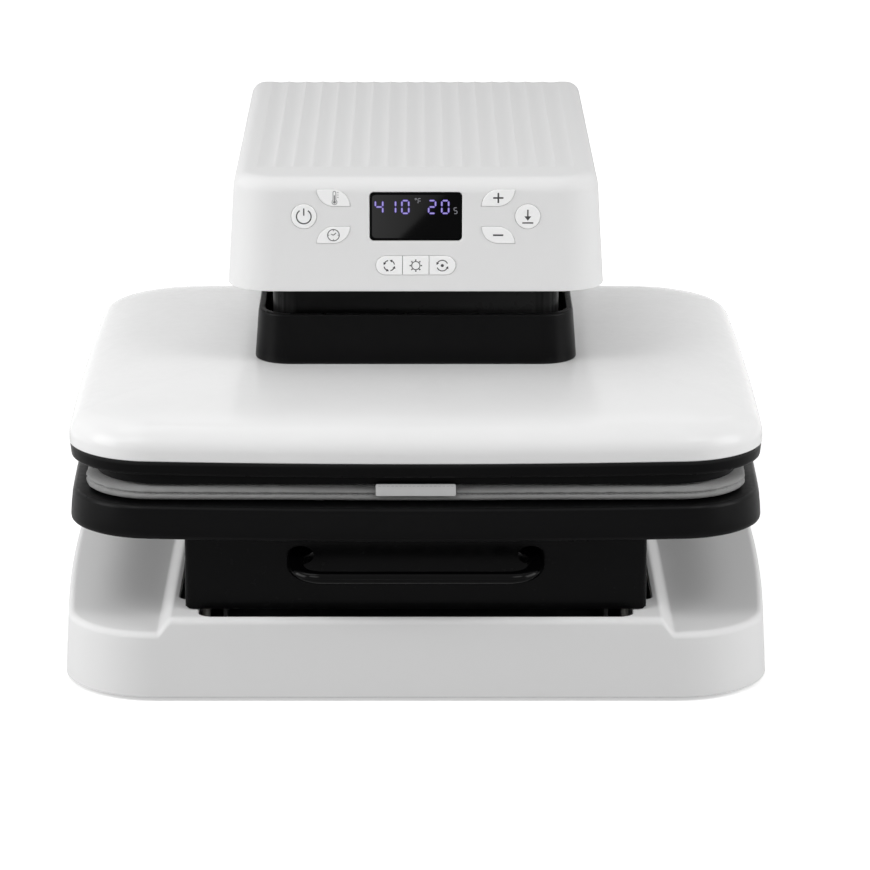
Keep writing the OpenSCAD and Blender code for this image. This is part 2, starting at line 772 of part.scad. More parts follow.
module control_board() {
    color(board_green) difference() {
        from_front(board_y, board_t) translate([0, (board_boss_z[0] + board_boss_z[1]) / 2])
            rrect(2 * (board_boss_x + board_edge), board_boss_z[1] - board_boss_z[0] + 2 * board_edge, 2);
        for (sx = [-1, 1], z = board_boss_z)
            translate([sx * board_boss_x, board_y - 1, z])
                rotate([-90, 0, 0]) cylinder(h = board_t + 2, d = 2.6);
    }
    color(black_satin) {
        from_front(board_y - 3.4, 3.4) switch_places() square(switch_w, center = true);
        // Buzzer, controller and connectors on the back
        translate([-58, board_y + board_t + 4, head_z + 22])
            rotate([90, 0, 0]) cylinder(h = 8, d = 12, center = true);
        from_front(board_y + board_t, 1.6) translate([6, head_z + 38]) square(12, center = true);
        for (x = [-26, 32, 52]) from_front(board_y + board_t, 6) translate([x, head_z + 18])
            square([14, 6], center = true);
    }
}

// Button caps: children are the face outline, the flange behind the panel and
// the stem that reaches towards the switch
flange_y = panel_y + head_lean + wall + seat;
flange_t = 1.2;
switch_y = board_y - 3.4;

module button(z) {
    face = panel_at(z) - button_proud;
    from_front(face, flange_y - face + flange_t / 2) children(0);
    from_front(flange_y, flange_t) children(1);
    from_front(flange_y + flange_t / 2, switch_y - button_travel - seat - flange_y - flange_t / 2) children(2);
}

module leaf_button(sx, sz) {
    color(white_gloss) button(panel_mid_z + sz * leaf_z) {
        leaf_at(sx, sz, 0);
        leaf_at(sx, sz, 0.7);
        translate([sx * leaf_x, panel_mid_z + sz * leaf_z]) circle(d = 4);
    }
}

module round_button(sx) {
    color(white_gloss) button(panel_mid_z) {
        round_at(sx, 0);
        round_at(sx, 1);
        translate([sx * round_x, panel_mid_z]) circle(d = 4);
    }
}

module preset_button(i) {
    color(white_gloss) button(preset_z) {
        preset_at(i, 0);
        preset_at(i, 0);
        translate([i * preset_w / 3, preset_z]) circle(d = 4);
    }
}

module power_button() { round_button(-1); }
module start_button() { round_button(1); }
module temperature_button() { leaf_button(-1, 1); }
module time_button() { leaf_button(-1, -1); }
module plus_button() { leaf_button(1, 1); }
module minus_button() { leaf_button(1, -1); }
module preset_cycle_button() { preset_button(-1); }
module preset_heat_button() { preset_button(0); }
module preset_auto_button() { preset_button(1); }

// Lift drive: a geared motor turns a nut, and the nut raises the screw
bearing_z = arm_z - 5;
bearing_t = 5;
gear_z = bearing_z + bearing_t + 5;
gear_t = 8;
drive_z = gear_z + gear_t + 5;
drive_t = 4;
hub_d = 28;
gear_r = gear_module * gear_teeth / 2;
pinion_r = gear_module * pinion_teeth / 2;
gear_centre = gear_r + pinion_r + 0.1;
motor_y = press_y + gear_centre;
motor_d = 36;
running = 0.06;

// Plate right across under both arms
module frame_bridge(z, t, y0, y1) {
    hw = frame_x + frame_t;
    translate([-hw, y0, z]) cube([2 * hw, y1 - y0, t]);
}

module bearing_plate() {
    color(steel) difference() {
        frame_bridge(bearing_z, bearing_t, press_y - 56, press_y + 66);
        translate([0, press_y, bearing_z - 1]) cylinder(h = bearing_t + 2, d = screw_d + 2);
        for (sx = [-1, 1], sy = [-1, 1]) {
            translate([sx * rod_x, press_y + sy * rod_y, bearing_z - 1])
                cylinder(h = bearing_t + 2, d = rod_d + 8);
            translate([sx * 36, press_y + 4 + sy * 44, bearing_z - 1])
                cylinder(h = bearing_t + 2, d = 5);
        }
    }
}

module drive_plate() {
    color(steel) difference() {
        translate([0, press_y + 4, drive_z]) linear_extrude(drive_t) rrect(86, 106, 8);
        translate([0, press_y, drive_z - 1]) cylinder(h = drive_t + 2, d = screw_d + 2);
        translate([0, motor_y, drive_z - 1]) cylinder(h = drive_t + 2, d = 12.2);
        for (sx = [-1, 1], sy = [-1, 1])
            translate([sx * 36, press_y + 4 + sy * 44, drive_z - 1]) cylinder(h = drive_t + 2, d = 5);
    }
}

module plate_standoffs() {
    color(zinc) for (sx = [-1, 1], sy = [-1, 1])
        translate([sx * 36, press_y + 4 + sy * 44, bearing_z + bearing_t]) {
            linear_extrude(drive_z - bearing_z - bearing_t) hexagon(9);
            translate([0, 0, drive_z - bearing_z - bearing_t]) cylinder(h = drive_t, d = 4.8);
            translate([0, 0, drive_z + drive_t - bearing_z - bearing_t]) linear_extrude(3.4) hexagon(8);
        }
}

module guide_bushings() {
    color([0.72, 0.55, 0.30]) for (sx = [-1, 1], sy = [-1, 1])
        translate([sx * rod_x, press_y + sy * rod_y, bearing_z - 2]) difference() {
            union() {
                cylinder(h = bearing_t + 14, d = rod_d + 7.8);
                translate([0, 0, bearing_t + 2]) cylinder(h = 3, d = rod_d + 14);
            }
            translate([0, 0, -1]) cylinder(h = bearing_t + 18, d = rod_d + 2 * running);
        }
}

// Races above and below the nut
module thrust_bearing() {
    color(steel) {
        translate([0, press_y, bearing_z + bearing_t]) difference() {
            cylinder(h = gear_z - bearing_z - bearing_t - 2.2, d = hub_d + 6);
            translate([0, 0, -1]) cylinder(h = 8, d = screw_d + 3);
        }
        translate([0, press_y, gear_z + gear_t + 2.2]) difference() {
            cylinder(h = drive_z - gear_z - gear_t - 2.2, d = hub_d + 6);
            translate([0, 0, -1]) cylinder(h = 8, d = screw_d + 3);
        }
    }
}

// Spur gear outline: straight-flanked teeth, thinned for running clearance
module gear_outline(teeth, m, thin) {
    r = m * teeth / 2;
    pitch = 360 / teeth;
    tip = r + 0.9 * m;
    root = r - 1.15 * m;
    half_root = pitch * 0.31 - thin;
    half_pitch = pitch * 0.235 - thin;
    half_tip = pitch * 0.13 - thin;
    polygon([for (i = [0 : teeth - 1]) each [
        let (a = i * pitch - half_root) [root * cos(a), root * sin(a)],
        let (a = i * pitch - half_pitch) [r * cos(a), r * sin(a)],
        let (a = i * pitch - half_tip) [tip * cos(a), tip * sin(a)],
        let (a = i * pitch + half_tip) [tip * cos(a), tip * sin(a)],
        let (a = i * pitch + half_pitch) [r * cos(a), r * sin(a)],
        let (a = i * pitch + half_root) [root * cos(a), root * sin(a)]]]);
}

module nut_gear() {
    color([0.72, 0.55, 0.30]) translate([0, press_y, gear_z]) difference() {
        union() {
            // A gap between teeth faces the pinion's tooth
            rotate(90 + 180 / gear_teeth) linear_extrude(gear_t) gear_outline(gear_teeth, gear_module, 0.25);
            translate([0, 0, -1.9]) cylinder(h = gear_t + 3.8, d = hub_d);
        }
        translate([0, 0, -3]) cylinder(h = gear_t + 6, d = screw_d + 2 * running);
        for (i = [0 : 5]) rotate(60 * i) translate([gear_r * 0.7, 0, -1]) cylinder(h = gear_t + 2, d = 7);
    }
}

module motor_pinion() {
    color(steel) translate([0, motor_y, gear_z - 1]) difference() {
        union() {
            rotate(-90) linear_extrude(gear_t + 2) gear_outline(pinion_teeth, gear_module, 1);
            cylinder(h = drive_z - gear_z + drive_t + 0.7, d = 6);
        }
        translate([0, 0, -1]) cylinder(h = 4, d = 2.4);
    }
}

motor_h = head_top - wall - rib_depth - 3 - drive_z - drive_t;

module lift_motor() {
    color([0.25, 0.25, 0.27]) translate([0, motor_y, drive_z + drive_t]) {
        difference() {
            cylinder(h = motor_h * 0.45, d = motor_d + 1);
            translate([0, 0, -1]) cylinder(h = 3, d = 7);
        }
        translate([0, 0, motor_h * 0.45]) cylinder(h = motor_h * 0.5, d = motor_d);
        translate([0, 0, motor_h * 0.95]) cylinder(h = motor_h * 0.05, d = 12);
        for (s = [-1, 1])
            translate([s * 10 - 1.5, 6, motor_h * 0.95]) cube([3, 0.8, 1.2]);
    }
}

// Hall sensors that read the platen's height, on a bracket from the bearing plate
module position_sensors() {
    color(board_green) for (s = [-1, 1])
        translate([s * 82, press_y, bearing_z - 20]) {
            translate([-0.8, -8, 0]) cube([1.6, 16, 20]);
            translate([s > 0 ? -2.8 : 0.8, -2, 4]) cube([2, 4, 4]);
        }
}

// Mains parts in the base and on the rear cover: the board stands beside the frame
mains_w = 58;
mains_d = 96;
mains_gap = 5.5;

module power_board() {
    z = frame_foot_z + 4;
    translate([frame_x + frame_t + mains_gap, press_y + 56, 0]) {
        color(board_green) translate([0, 0, z]) cube([mains_w, mains_d, board_t]);
        color(steel) translate([4, 6, z + 1.6]) cube([10, 40, 18]);
        color([0.2, 0.3, 0.6]) translate([22, 8, z + 1.6]) cube([16, 20, 15]);
        color([0.15, 0.15, 0.16]) {
            translate([46, 20, z + 1.6]) cylinder(h = 16, d = 12);
            translate([22, 60, z + 1.6]) cube([28, 24, 14]);
        }
        color(zinc) for (x = [4, mains_w - 4], y = [4, mains_d - 4]) translate([x, y, frame_foot_z])
            cylinder(h = z - frame_foot_z, d = 5);
    }
}

module power_inlet() {
    y = cover_y + wall;
    color(black_satin) translate([inlet_x, 0, port_z]) difference() {
        union() {
            from_front(y, 1.8) rrect(48, 24, 5);
            from_front(y - 24, 24) rrect(27, 20, 2);
        }
        // Socket recess with its three blades left standing
        difference() {
            from_front(y - 16, 20) rrect(24.4, 16.6, 2.6);
            for (i = [-1 : 1]) from_front(y - 17, 12) translate([i * 7, i == 0 ? 2 : -2])
                square([2, 5], center = true);
        }
        for (s = [-1, 1]) translate([s * 20, y - 1, 0]) rotate([-90, 0, 0]) cylinder(h = 4, d = 3.2);
    }
}

rocker_tilt = 10;

module switch_frame() {
    y = cover_y + wall;
    color(black_satin) translate([switch_x, 0, port_z]) difference() {
        union() {
            from_front(y, 1.6) rrect(23, 16.4, 1.6);
            from_front(y - 18, 18) rrect(19.2, 13, 0.8);
        }
        from_front(y - 9, 12) rrect(14.8, 11.6, 0.5);
        translate([0, rocker_y, 0])
            rotate([0, 90, 0]) cylinder(h = 17.2, d = 2.2 + 2 * running, center = true);
    }
}

rocker_y = cover_y + wall - 1.2;

module power_rocker() {
    color(black_gloss) translate([switch_x, rocker_y, port_z]) {
        rotate([0, 90, 0]) cylinder(h = 16.6, d = 2.2, center = true);
        rotate([-rocker_tilt, 0, 0]) across(-7, 7)
            polygon([[-1, -5], [2.2, -5], [1.6, 0], [2.2, 5], [-1, 5], [-3, 0]]);
    }
}

// Upper platen: glossy pillow-shaped cover over the heated plate
cover_side = 5.4;
fillet_w = 19.5;
fillet_h = 15.6;
fillet_end = 84;
fillet_back = 1.7;
collar_flat = 3;
collar_front = press_y - sleeve_d / 2;
collar_back = press_y + sleeve_d / 2;

platen_bow = [side_bow, end_bow, end_bow];

// The back of the cover is drawn in further than its front where it rounds over
function cover_ring(t, z, back_t = 1) =
    inset_bowed(platen_w, platen_front, platen_back, platen_r, platen_back_r, z, t, platen_bow, back_t);

// Ring between the cover's rounded edge and the collar: u is 0 at the edge and 1 at the collar
function crown_ring(u, z, edge) =
    let (foot = bowed(sleeve_w + 2 * collar_flat, collar_front - collar_flat, collar_back + collar_flat,
            sleeve_r + collar_flat, sleeve_r + collar_flat, z, [0, 0, 0]))
    [for (j = [0 : len(edge) - 1]) [edge[j][0] + u * (foot[j][0] - edge[j][0]),
        edge[j][1] + u * (foot[j][1] - edge[j][1]), z]];

function collar_ring(w, d, r, z) = ring(w, press_y - d / 2, press_y + d / 2, r, r, z);

module platen_form(t) {
    side_z = cover_z + cover_side;
    steps = 7;
    top = crown_z - t;
    function round_ring(i) = let (a = fillet_end * i / steps)
        cover_ring(t + fillet_w * (1 - cos(a)), side_z + fillet_h * sin(a) - t * i / steps,
            1 + (fillet_back - 1) * i / steps);
    edge = round_ring(steps);
    edge_z = edge[0][2];
    loft(concat(
        [cover_ring(t, t == 0 ? cover_z : cover_z - 1)],
        [for (i = [0 : steps]) round_ring(i)],
        [for (u = [0.12, 0.28, 0.48, 0.72, 1]) crown_ring(u, top - (top - edge_z) * pow(1 - u, 2), edge)]));
}

boss_x = [-150, 150];
boss_y = [-118, 118];

module platen_shell() {
    color(white_gloss) {
        difference() {
            platen_form(0);
            platen_form(cover_wall);
            translate([0, press_y, cover_z]) linear_extrude(cover_h + 2)
                rrect(sleeve_w - 2 * sleeve_wall - 6, sleeve_d - 2 * sleeve_wall - 6,
                    sleeve_r - sleeve_wall - 2);
        }
        // Bosses that screw down to the carrier plate
        intersection() {
            platen_form(cover_wall / 2);
            for (x = boss_x, y = boss_y)
                translate([x, press_y + y, carrier_z + carrier_t]) difference() {
                    cylinder(h = cover_h, d = 9);
                    translate([0, 0, -1]) cylinder(h = 7, d = 2.8);
                }
        }
    }
}

rim_clear = 0.8;
rim_in = 1.7;

module platen_rim() {
    open_w = plate_size + 2 * rim_clear;
    open_r = plate_r + rim_clear;
    function opening(z) =
        bowed(open_w, press_y - open_w / 2, press_y + open_w / 2, open_r, open_r, z, [0, 0, 0]);
    color(black_satin) loft([
        cover_ring(rim_in, rim_z),
        cover_ring(rim_in - 0.8, rim_z + 1),
        cover_ring(0.5, cover_z - 2.5),
        cover_ring(0.5, cover_z),
        opening(cover_z), opening(rim_z)], loop = true);
}

module outer_sleeve() {
    z1 = sleeve_top;
    function out(t, z) = collar_ring(sleeve_w - 2 * t, sleeve_d - 2 * t, sleeve_r - t / 2, z);
    inner_t = sleeve_taper + sleeve_wall;
    color(black_satin) loft([
        out(0.6, crown_z), out(0, crown_z + 1.5),
        out(sleeve_taper - 0.1, z1 - 1.2), out(sleeve_taper + 0.3, z1 - 0.3), out(sleeve_taper + 1, z1),
        out(inner_t - 0.6, z1), out(inner_t, z1 - 0.8), out(sleeve_wall, crown_z)], loop = true);
}

// Carrier: steel plate with the sockets of the screw and the guide rods
plate_r = 41;
heater_r = 3.5;
carrier_t = 4;
carrier_z = plate_top + 14;
socket_h = 14;
carrier_w = 330;

module carrier_plate() {
    color(steel) difference() {
        union() {
            translate([0, press_y, carrier_z]) linear_extrude(carrier_t) difference() {
                rrect(carrier_w, carrier_w, 24);
                for (sx = [-1, 1], sy = [-1, 1]) {
                    translate([sx * 116, sy * 62]) circle(d = 48);
                    translate([sx * 48, sy * 118]) circle(d = 48);
                }
                for (p = bolt_places) translate(p) circle(d = bolt_d + 0.4);
                for (x = boss_x, y = boss_y) translate([x, y]) circle(d = 3.4);
            }
            for (sx = [-1, 1], sy = [-1, 1])
                translate([sx * rod_x, press_y + sy * rod_y, carrier_z])
                    cylinder(h = carrier_t + socket_h, d = rod_d + 10);
            translate([0, press_y, carrier_z]) cylinder(h = carrier_t + socket_h, d = screw_d + 16);
            // Webs between the sockets
            for (sy = [-1, 1])
                translate([-rod_x, press_y + sy * rod_y - 2, carrier_z])
                    cube([2 * rod_x, 4, carrier_t + socket_h - 4]);
            translate([-2, press_y - rod_y, carrier_z]) cube([4, 2 * rod_y, carrier_t + socket_h - 4]);
        }
        for (sx = [-1, 1], sy = [-1, 1])
            translate([sx * rod_x, press_y + sy * rod_y, carrier_z - 1])
                cylinder(h = carrier_t + socket_h + 2, d = rod_d);
        translate([0, press_y, carrier_z - 1]) cylinder(h = carrier_t + socket_h + 2, d = screw_d);
    }
}

rod_len = bearing_z + bearing_t + 14 - carrier_z;

module guide_rods() {
    color([0.8, 0.8, 0.82]) for (sx = [-1, 1], sy = [-1, 1])
        translate([sx * rod_x, press_y + sy * rod_y, carrier_z]) {
            cylinder(h = rod_len - 1, d = rod_d);
            translate([0, 0, rod_len - 1]) cylinder(h = 1, d1 = rod_d, d2 = rod_d - 2);
        }
}

screw_top = min(head_top - wall - rib_depth - lift_travel - 3, drive_z + drive_t + 4);

module lead_screw() {
    color([0.8, 0.8, 0.82]) translate([0, press_y, carrier_z]) {
        cylinder(h = screw_top - carrier_z - 1, d = screw_d);
        translate([0, 0, screw_top - carrier_z - 1]) cylinder(h = 1, d1 = screw_d, d2 = screw_d - 2);
    }
}

// Heated plate with the groove of its tubular element
bolt_d = 6;
bolt_places = concat([for (sx = [-1, 1], sy = [-1 : 1]) [sx * 152, sy * 140]],
    [[-52, 146], [52, 146], [0, -146]]);
run_count = 6;
run_pitch = 52;
run_len = 250;

function run_x(i) = (i - (run_count - 1) / 2) * run_pitch;

module element_path(r) {
    for (i = [0 : run_count - 1])
        translate([run_x(i), press_y + run_len / 2, 0]) rotate([90, 0, 0]) cylinder(h = run_len, r = r);
    for (i = [0 : run_count - 2])
        translate([(run_x(i) + run_x(i + 1)) / 2, press_y + (i % 2 == 0 ? 1 : -1) * run_len / 2, 0])
            rotate([0, 0, i % 2 == 0 ? 0 : 180]) rotate_extrude(angle = 180) translate([run_pitch / 2, 0]) circle(r);
}

module heat_plate() {
    color([0.16, 0.16, 0.17]) difference() {
        translate([0, press_y, plate_z]) {
            translate([0, 0, 1]) linear_extrude(plate_t - 1) rrect(plate_size, plate_size, plate_r);
            linear_extrude(1) rrect(plate_size - 1.6, plate_size - 1.6, plate_r - 0.8);
        }
        translate([0, 0, plate_top]) {
            element_path(heater_r + 0.1);
            for (i = [0, run_count - 1])
                translate([run_x(i), press_y - run_len / 2, 0]) sphere(heater_r + 0.1);
        }
        for (p = bolt_places)
            translate([p[0], press_y + p[1], plate_top - 6]) cylinder(h = 8, d = bolt_d - 1);
    }
}

module heating_element() {
    color([0.35, 0.33, 0.31]) translate([0, 0, plate_top]) {
        element_path(heater_r);
        // Cold ends, turned up to their terminals
        for (i = [0, run_count - 1])
            translate([run_x(i), press_y - run_len / 2, 0]) {
                sphere(heater_r);
                cylinder(h = 10, r = heater_r);
                translate([0, 0, 10]) cylinder(h = 1.6, d = 4);
            }
    }
}

module insulation_blanket() {
    color([0.86, 0.84, 0.78]) translate([0, press_y, plate_top + heater_r + 0.4]) linear_extrude(6.5) difference() {
        rrect(plate_size - 20, plate_size - 20, 30);
        for (p = bolt_places) translate(p) circle(d = 17);
        for (i = [0, run_count - 1]) translate([run_x(i), -run_len / 2]) circle(d = 9);
        translate([0, 0]) circle(d = 26);
    }
}

module ceramic_spacers() {
    color([0.92, 0.9, 0.84]) for (p = bolt_places)
        translate([p[0], press_y + p[1], plate_top]) difference() {
            cylinder(h = carrier_z - plate_top, d = 15);
            translate([0, 0, -1]) cylinder(h = 20, d = bolt_d + 0.6);
        }
}

module platen_bolts() {
    color(zinc) for (p = bolt_places)
        translate([p[0], press_y + p[1], plate_top]) {
            translate([0, 0, -5]) cylinder(h = 5 + carrier_z - plate_top + carrier_t, d = bolt_d - 1.2);
            translate([0, 0, carrier_z - plate_top + carrier_t]) linear_extrude(3.6) hexagon(9);
        }
    // Screws that hold the cover's bosses
    color(zinc) for (x = boss_x, y = boss_y)
        translate([x, press_y + y, carrier_z]) {
            translate([0, 0, -1.6]) cylinder(h = 1.6, d = 6);
            cylinder(h = carrier_t + 5, d = 2.7);
        }
}

// Thermal cut-out and temperature probe, pressed on the plate under the blanket's hole
module thermal_cutout() {
    color([0.2, 0.2, 0.21]) translate([0, press_y, plate_top]) {
        cylinder(h = 3, d = 16);
        translate([0, 0, 3]) cylinder(h = 7, d = 12);
        for (s = [-1, 1]) translate([s * 4 - 0.4, -2, 10]) cube([0.8, 4, 3]);
    }
}

// Lower platen: black tray on the drawer
tray_in = 1.2;
tray_wall = 3;

function tray_ring(t, z) = inset_bowed(platen_w - 2 * tray_in, front_y + 1, platen_back, platen_r - 2,
    platen_back_r - 2, z, t, [side_bow + 1.2, tray_bow, end_bow]);

module lower_platen() {
    rib_h = tray_h - 8;
    color(black_satin) {
        difference() {
            loft([tray_ring(1, tray_z), tray_ring(0.3, tray_z + 1), tray_ring(0, tray_z + 3.2),
                tray_ring(1.4, tray_top - 2.4), tray_ring(2, tray_top - 0.8), tray_ring(3.2, tray_top)]);
            translate([0, 0, tray_z - 1]) linear_extrude(tray_h - 3) plan_of(tray_ring(tray_wall + 3, 0));
        }
        // Stiffening ribs beside the drawer box
        for (s = [-1, 1], i = [-2 : 2])
            translate([s > 0 ? drawer_w / 2 + 0.5 : -platen_w / 2 + tray_in + tray_wall + 2,
                    press_y + i * 60 - 1.5, tray_top - 4 - rib_h])
                cube([platen_w / 2 - tray_in - tray_wall - 2 - drawer_w / 2 - 0.5, 3, rib_h + 0.1]);
    }
}

pad_side = 6;
pad_end = 4;
pad_r = 41;
pad_w = plate_size + 2 * pad_side;
pad_front = press_y - plate_size / 2 - pad_end;
pad_back = press_y + plate_size / 2 + pad_end;
seam_z = pad_z + pad_t * 0.49;

// Pad: sides drawn in along the stitched seam, edges rolled, flat face slightly crowned
module press_pad() {
    function p(t, z) = inset_bowed(pad_w, pad_front, pad_back, pad_r, pad_r, z, t, [1, pad_end, pad_end]);
    color(pad_grey) loft([
        p(4, pad_z), p(1.4, pad_z + 0.5), p(0.3, pad_z + 2), p(0.3, seam_z - 1.2),
        p(1.3, seam_z), p(0.3, seam_z + 1.2), p(0.2, pad_top - 3), p(1.2, pad_top - 1.3),
        p(3.5, pad_top - 0.5), p(9, pad_top - 0.1), p(24, pad_top)]);
}

tab_w = 47;
tab_h = 7.2;

module pad_tab() {
    color(white_satin) translate([0, pad_front - 0.05, pad_top + 1.6 - tab_h / 2]) rotate([90, 0, 0])
        linear_extrude(0.7) rrect(tab_w, tab_h, 0.8);
}

// Drawer box under the lower platen
box_front = front_y + drawer_set;
box_back = rail_front + rail_len + 6;
box_r = 4;

module drawer_box() {
    top = tray_top - 4;
    color(black_satin) difference() {
        union() {
            translate([0, 0, drawer_z]) linear_extrude(top - drawer_z) difference() {
                rrect_span(drawer_w, box_front, box_back, box_r, box_r);
                rrect_span(drawer_w - 2 * box_wall, box_front + box_wall, box_back - box_wall, 1.5, 1.5);
            }
            // Flanges that slide on the glides
            for (s = [-1, 1])
                translate([s > 0 ? recess_hw - 8 : -drawer_w / 2 + 1, box_front + 2, drawer_z])
                    cube([drawer_w / 2 - recess_hw + 7, box_back - box_front - 4, 2]);
        }
        // Rounded lower corners of the front
        for (s = [-1, 1]) translate([s * drawer_w / 2, box_front - 1, drawer_z]) mirror([s > 0 ? 1 : 0, 0, 0])
            rotate([90, 0, 0]) mirror([0, 0, 1]) linear_extrude(box_wall + 3) difference() {
                translate([-1, -1]) square(4.2);
                translate([3.2, 3.2]) circle(3.2);
            }
        // Rear wall notched round the rails, and cut down in the middle
        for (s = [-1, 1])
            translate([s > 0 ? flange_x - 3 : -drawer_w / 2 + box_wall, box_back - box_wall - 1, drawer_z - 1])
            cube([drawer_w / 2 - box_wall - flange_x + 3, box_wall + 2, rail_z + rail_h - drawer_z + 3]);
        translate([-90, box_back - box_wall - 1, drawer_z - 1]) cube([180, box_wall + 2, 24]);
        for (s = [-1, 1]) translate([s * handle_screw_x, box_front - 1, handle_root_z]) rotate([-90, 0, 0])
            cylinder(h = box_wall + 2, d = 4.4);
    }
}

// Handle: a glossy bar swept round in a flat D
handle_bar_y = box_front - handle_reach;
handle_bar_z = drawer_z + 27.6;
handle_root_z = handle_bar_z + 5.4;
handle_hole_x = handle_w / 2 - bar_a;
handle_bend = 18;
root_flare = 1.6;
handle_screw_x = handle_hole_x - bar_a * (root_flare - 1);

module drawer_handle() {
    hx = handle_hole_x;
    reach = handle_reach;
    bend = handle_bend;
    // Centre line: back at the drawer, forward, round the bend and across
    right = concat([for (i = [3 : -1 : 1]) [hx, bend + (reach - bend) * i / 3, 0]],
        [for (i = [0 : 6]) let (a = 15 * i) [hx - bend + bend * cos(a), bend - bend * sin(a), a]]);
    path = concat(right, [for (i = [len(right) - 1 : -1 : 0]) [-right[i][0], right[i][1], 180 - right[i][2]]]);
    function lift(y) = (handle_root_z - handle_bar_z) * y / reach;
    // Section angle: 0 heads forward, 90 heads across; the arms widen towards the drawer
    function grow(y) = 1 + (root_flare - 1) * pow(max(y - bend, 0) / (reach - bend), 2);
    rings = [for (p = path) [for (k = [0 : 15])
        let (u = bar_a * grow(p[1]) * cos(22.5 * k), v = bar_b * grow(p[1]) * sin(22.5 * k),
             side = p[0] > 0 ? 1 : -1, in = bar_a * (grow(p[1]) - 1))
        [p[0] - side * in + u * cos(p[2]), handle_bar_y + p[1] - u * sin(p[2]), handle_bar_z + lift(p[1]) + v]]];
    color(black_gloss) loft(rings);
}

module handle_screws() {
    color(zinc) for (s = [-1, 1])
        translate([s * handle_screw_x, box_front, handle_root_z]) rotate([-90, 0, 0]) {
            translate([0, 0, 0.05]) cylinder(h = box_wall, d = 4);
            translate([0, 0, box_wall]) cylinder(h = 2.4, d = 8);
        }
}

// Screws of the base plate, the rear cover, the head and the control board, and the rails' rivets
module case_screws() {
    color(zinc) {
        for (s = [-1, 1], y = base_boss_y)
            translate([s * base_boss_x, y, plate_under_z]) {
                translate([0, 0, -0.9]) cylinder(h = 0.9, d = 6);
                cylinder(h = 9, d = 3.1);
            }
        for (s = [-1, 1], z = cover_screw_z)
            translate([s * cover_screw_x, cover_y + wall - 1.8, z]) rotate([90, 0, 0]) {
                translate([0, 0, -1.6]) cylinder(h = 1.6, d = 6);
                cylinder(h = 8, d = 3.1);
            }
        for (s = [-1, 1], y = under_screw_y)
            translate([s * under_screw_x, y, head_z + 0.4]) {
                translate([0, 0, -1.4]) cylinder(h = 1.4, d = 6);
                cylinder(h = 11, d = 3.1);
            }
        for (s = [-1, 1], z = board_boss_z)
            translate([s * board_boss_x, board_y + board_t, z]) rotate([90, 0, 0]) {
                translate([0, 0, -1.2]) cylinder(h = 1.2, d = 4.4);
                cylinder(h = 6, d = 2.1);
            }
        for (s = [-1, 1], i = [0 : 3])
            translate([s * flange_x, rail_front + 30 + i * (rail_len - 60) / 3, rail_z + rail_h / 2])
                rotate([0, s * 90, 0]) {
                    translate([0, 0, -1]) cylinder(h = 1, d = 7);
                    cylinder(h = 2 + rail_t, d = 4.1);
                    translate([0, 0, 2 + rail_t]) cylinder(h = 1, d = 7);
                }
    }
}

base_shell();
base_plate();
rubber_feet();
case_screws();
slide_bed();
slide_rails_fixed();
glide_strips();
frame_side_plates();
frame_cross_bars();
column_shell();
rear_cover();
head_shell();
head_underside();
inner_sleeve();
display_window();
display_module();
control_board();
bearing_plate();
drive_plate();
plate_standoffs();
guide_bushings();
thrust_bearing();
lift_motor();
position_sensors();
power_board();
power_inlet();
switch_frame();
power_rocker();
nut_gear();
motor_pinion();
platen_shell();
platen_rim();
outer_sleeve();
carrier_plate();
heat_plate();
heating_element();
insulation_blanket();
platen_bolts();
ceramic_spacers();
guide_rods();
lead_screw();
thermal_cutout();
lower_platen();
press_pad();
pad_tab();
drawer_box();
drawer_handle();
handle_screws();
slide_rails_drawer();
slide_rails_middle();
power_button();
temperature_button();
time_button();
plus_button();
minus_button();
start_button();
preset_cycle_button();
preset_heat_button();
preset_auto_button();
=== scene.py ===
import json
import math
import bpy
import bmesh
import numpy as np
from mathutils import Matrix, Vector
from mathutils.kdtree import KDTree


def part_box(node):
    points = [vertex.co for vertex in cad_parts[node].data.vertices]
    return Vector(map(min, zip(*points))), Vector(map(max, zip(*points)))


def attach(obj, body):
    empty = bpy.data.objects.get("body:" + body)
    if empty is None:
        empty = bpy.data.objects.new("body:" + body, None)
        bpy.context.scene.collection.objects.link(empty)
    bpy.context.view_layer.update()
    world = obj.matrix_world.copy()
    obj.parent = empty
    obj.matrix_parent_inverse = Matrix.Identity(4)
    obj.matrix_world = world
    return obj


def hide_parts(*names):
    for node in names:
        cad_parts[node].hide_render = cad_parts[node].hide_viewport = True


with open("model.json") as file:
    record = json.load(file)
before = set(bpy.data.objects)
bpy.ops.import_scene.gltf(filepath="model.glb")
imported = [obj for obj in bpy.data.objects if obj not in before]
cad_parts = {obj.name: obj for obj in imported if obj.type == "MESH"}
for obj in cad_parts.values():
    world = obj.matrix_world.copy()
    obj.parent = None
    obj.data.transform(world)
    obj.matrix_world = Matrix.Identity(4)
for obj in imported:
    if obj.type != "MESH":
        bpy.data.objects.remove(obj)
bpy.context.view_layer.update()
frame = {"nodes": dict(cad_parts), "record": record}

MM = 0.001
MICRON = 0.000001
PI = math.pi
scene = bpy.context.scene
nodes = frame["nodes"]
rides_on = {n: b for b, names in frame["record"]["behaviour"]["bodies"].items() for n in names}
material_of = {}


def box(node):
    """Lowest and highest corner of a CAD piece, in millimetres."""
    lo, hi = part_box(node)
    return np.array(lo) / MM, np.array(hi) / MM


# ---- materials

LEAST_ROUGH, COAT_ROUGH = 0.03, 0.1
CLOTH_ROUGH = 0.77, 0.93
WORN_PALE, WORN_SMOOTH = 0.14, 0.3


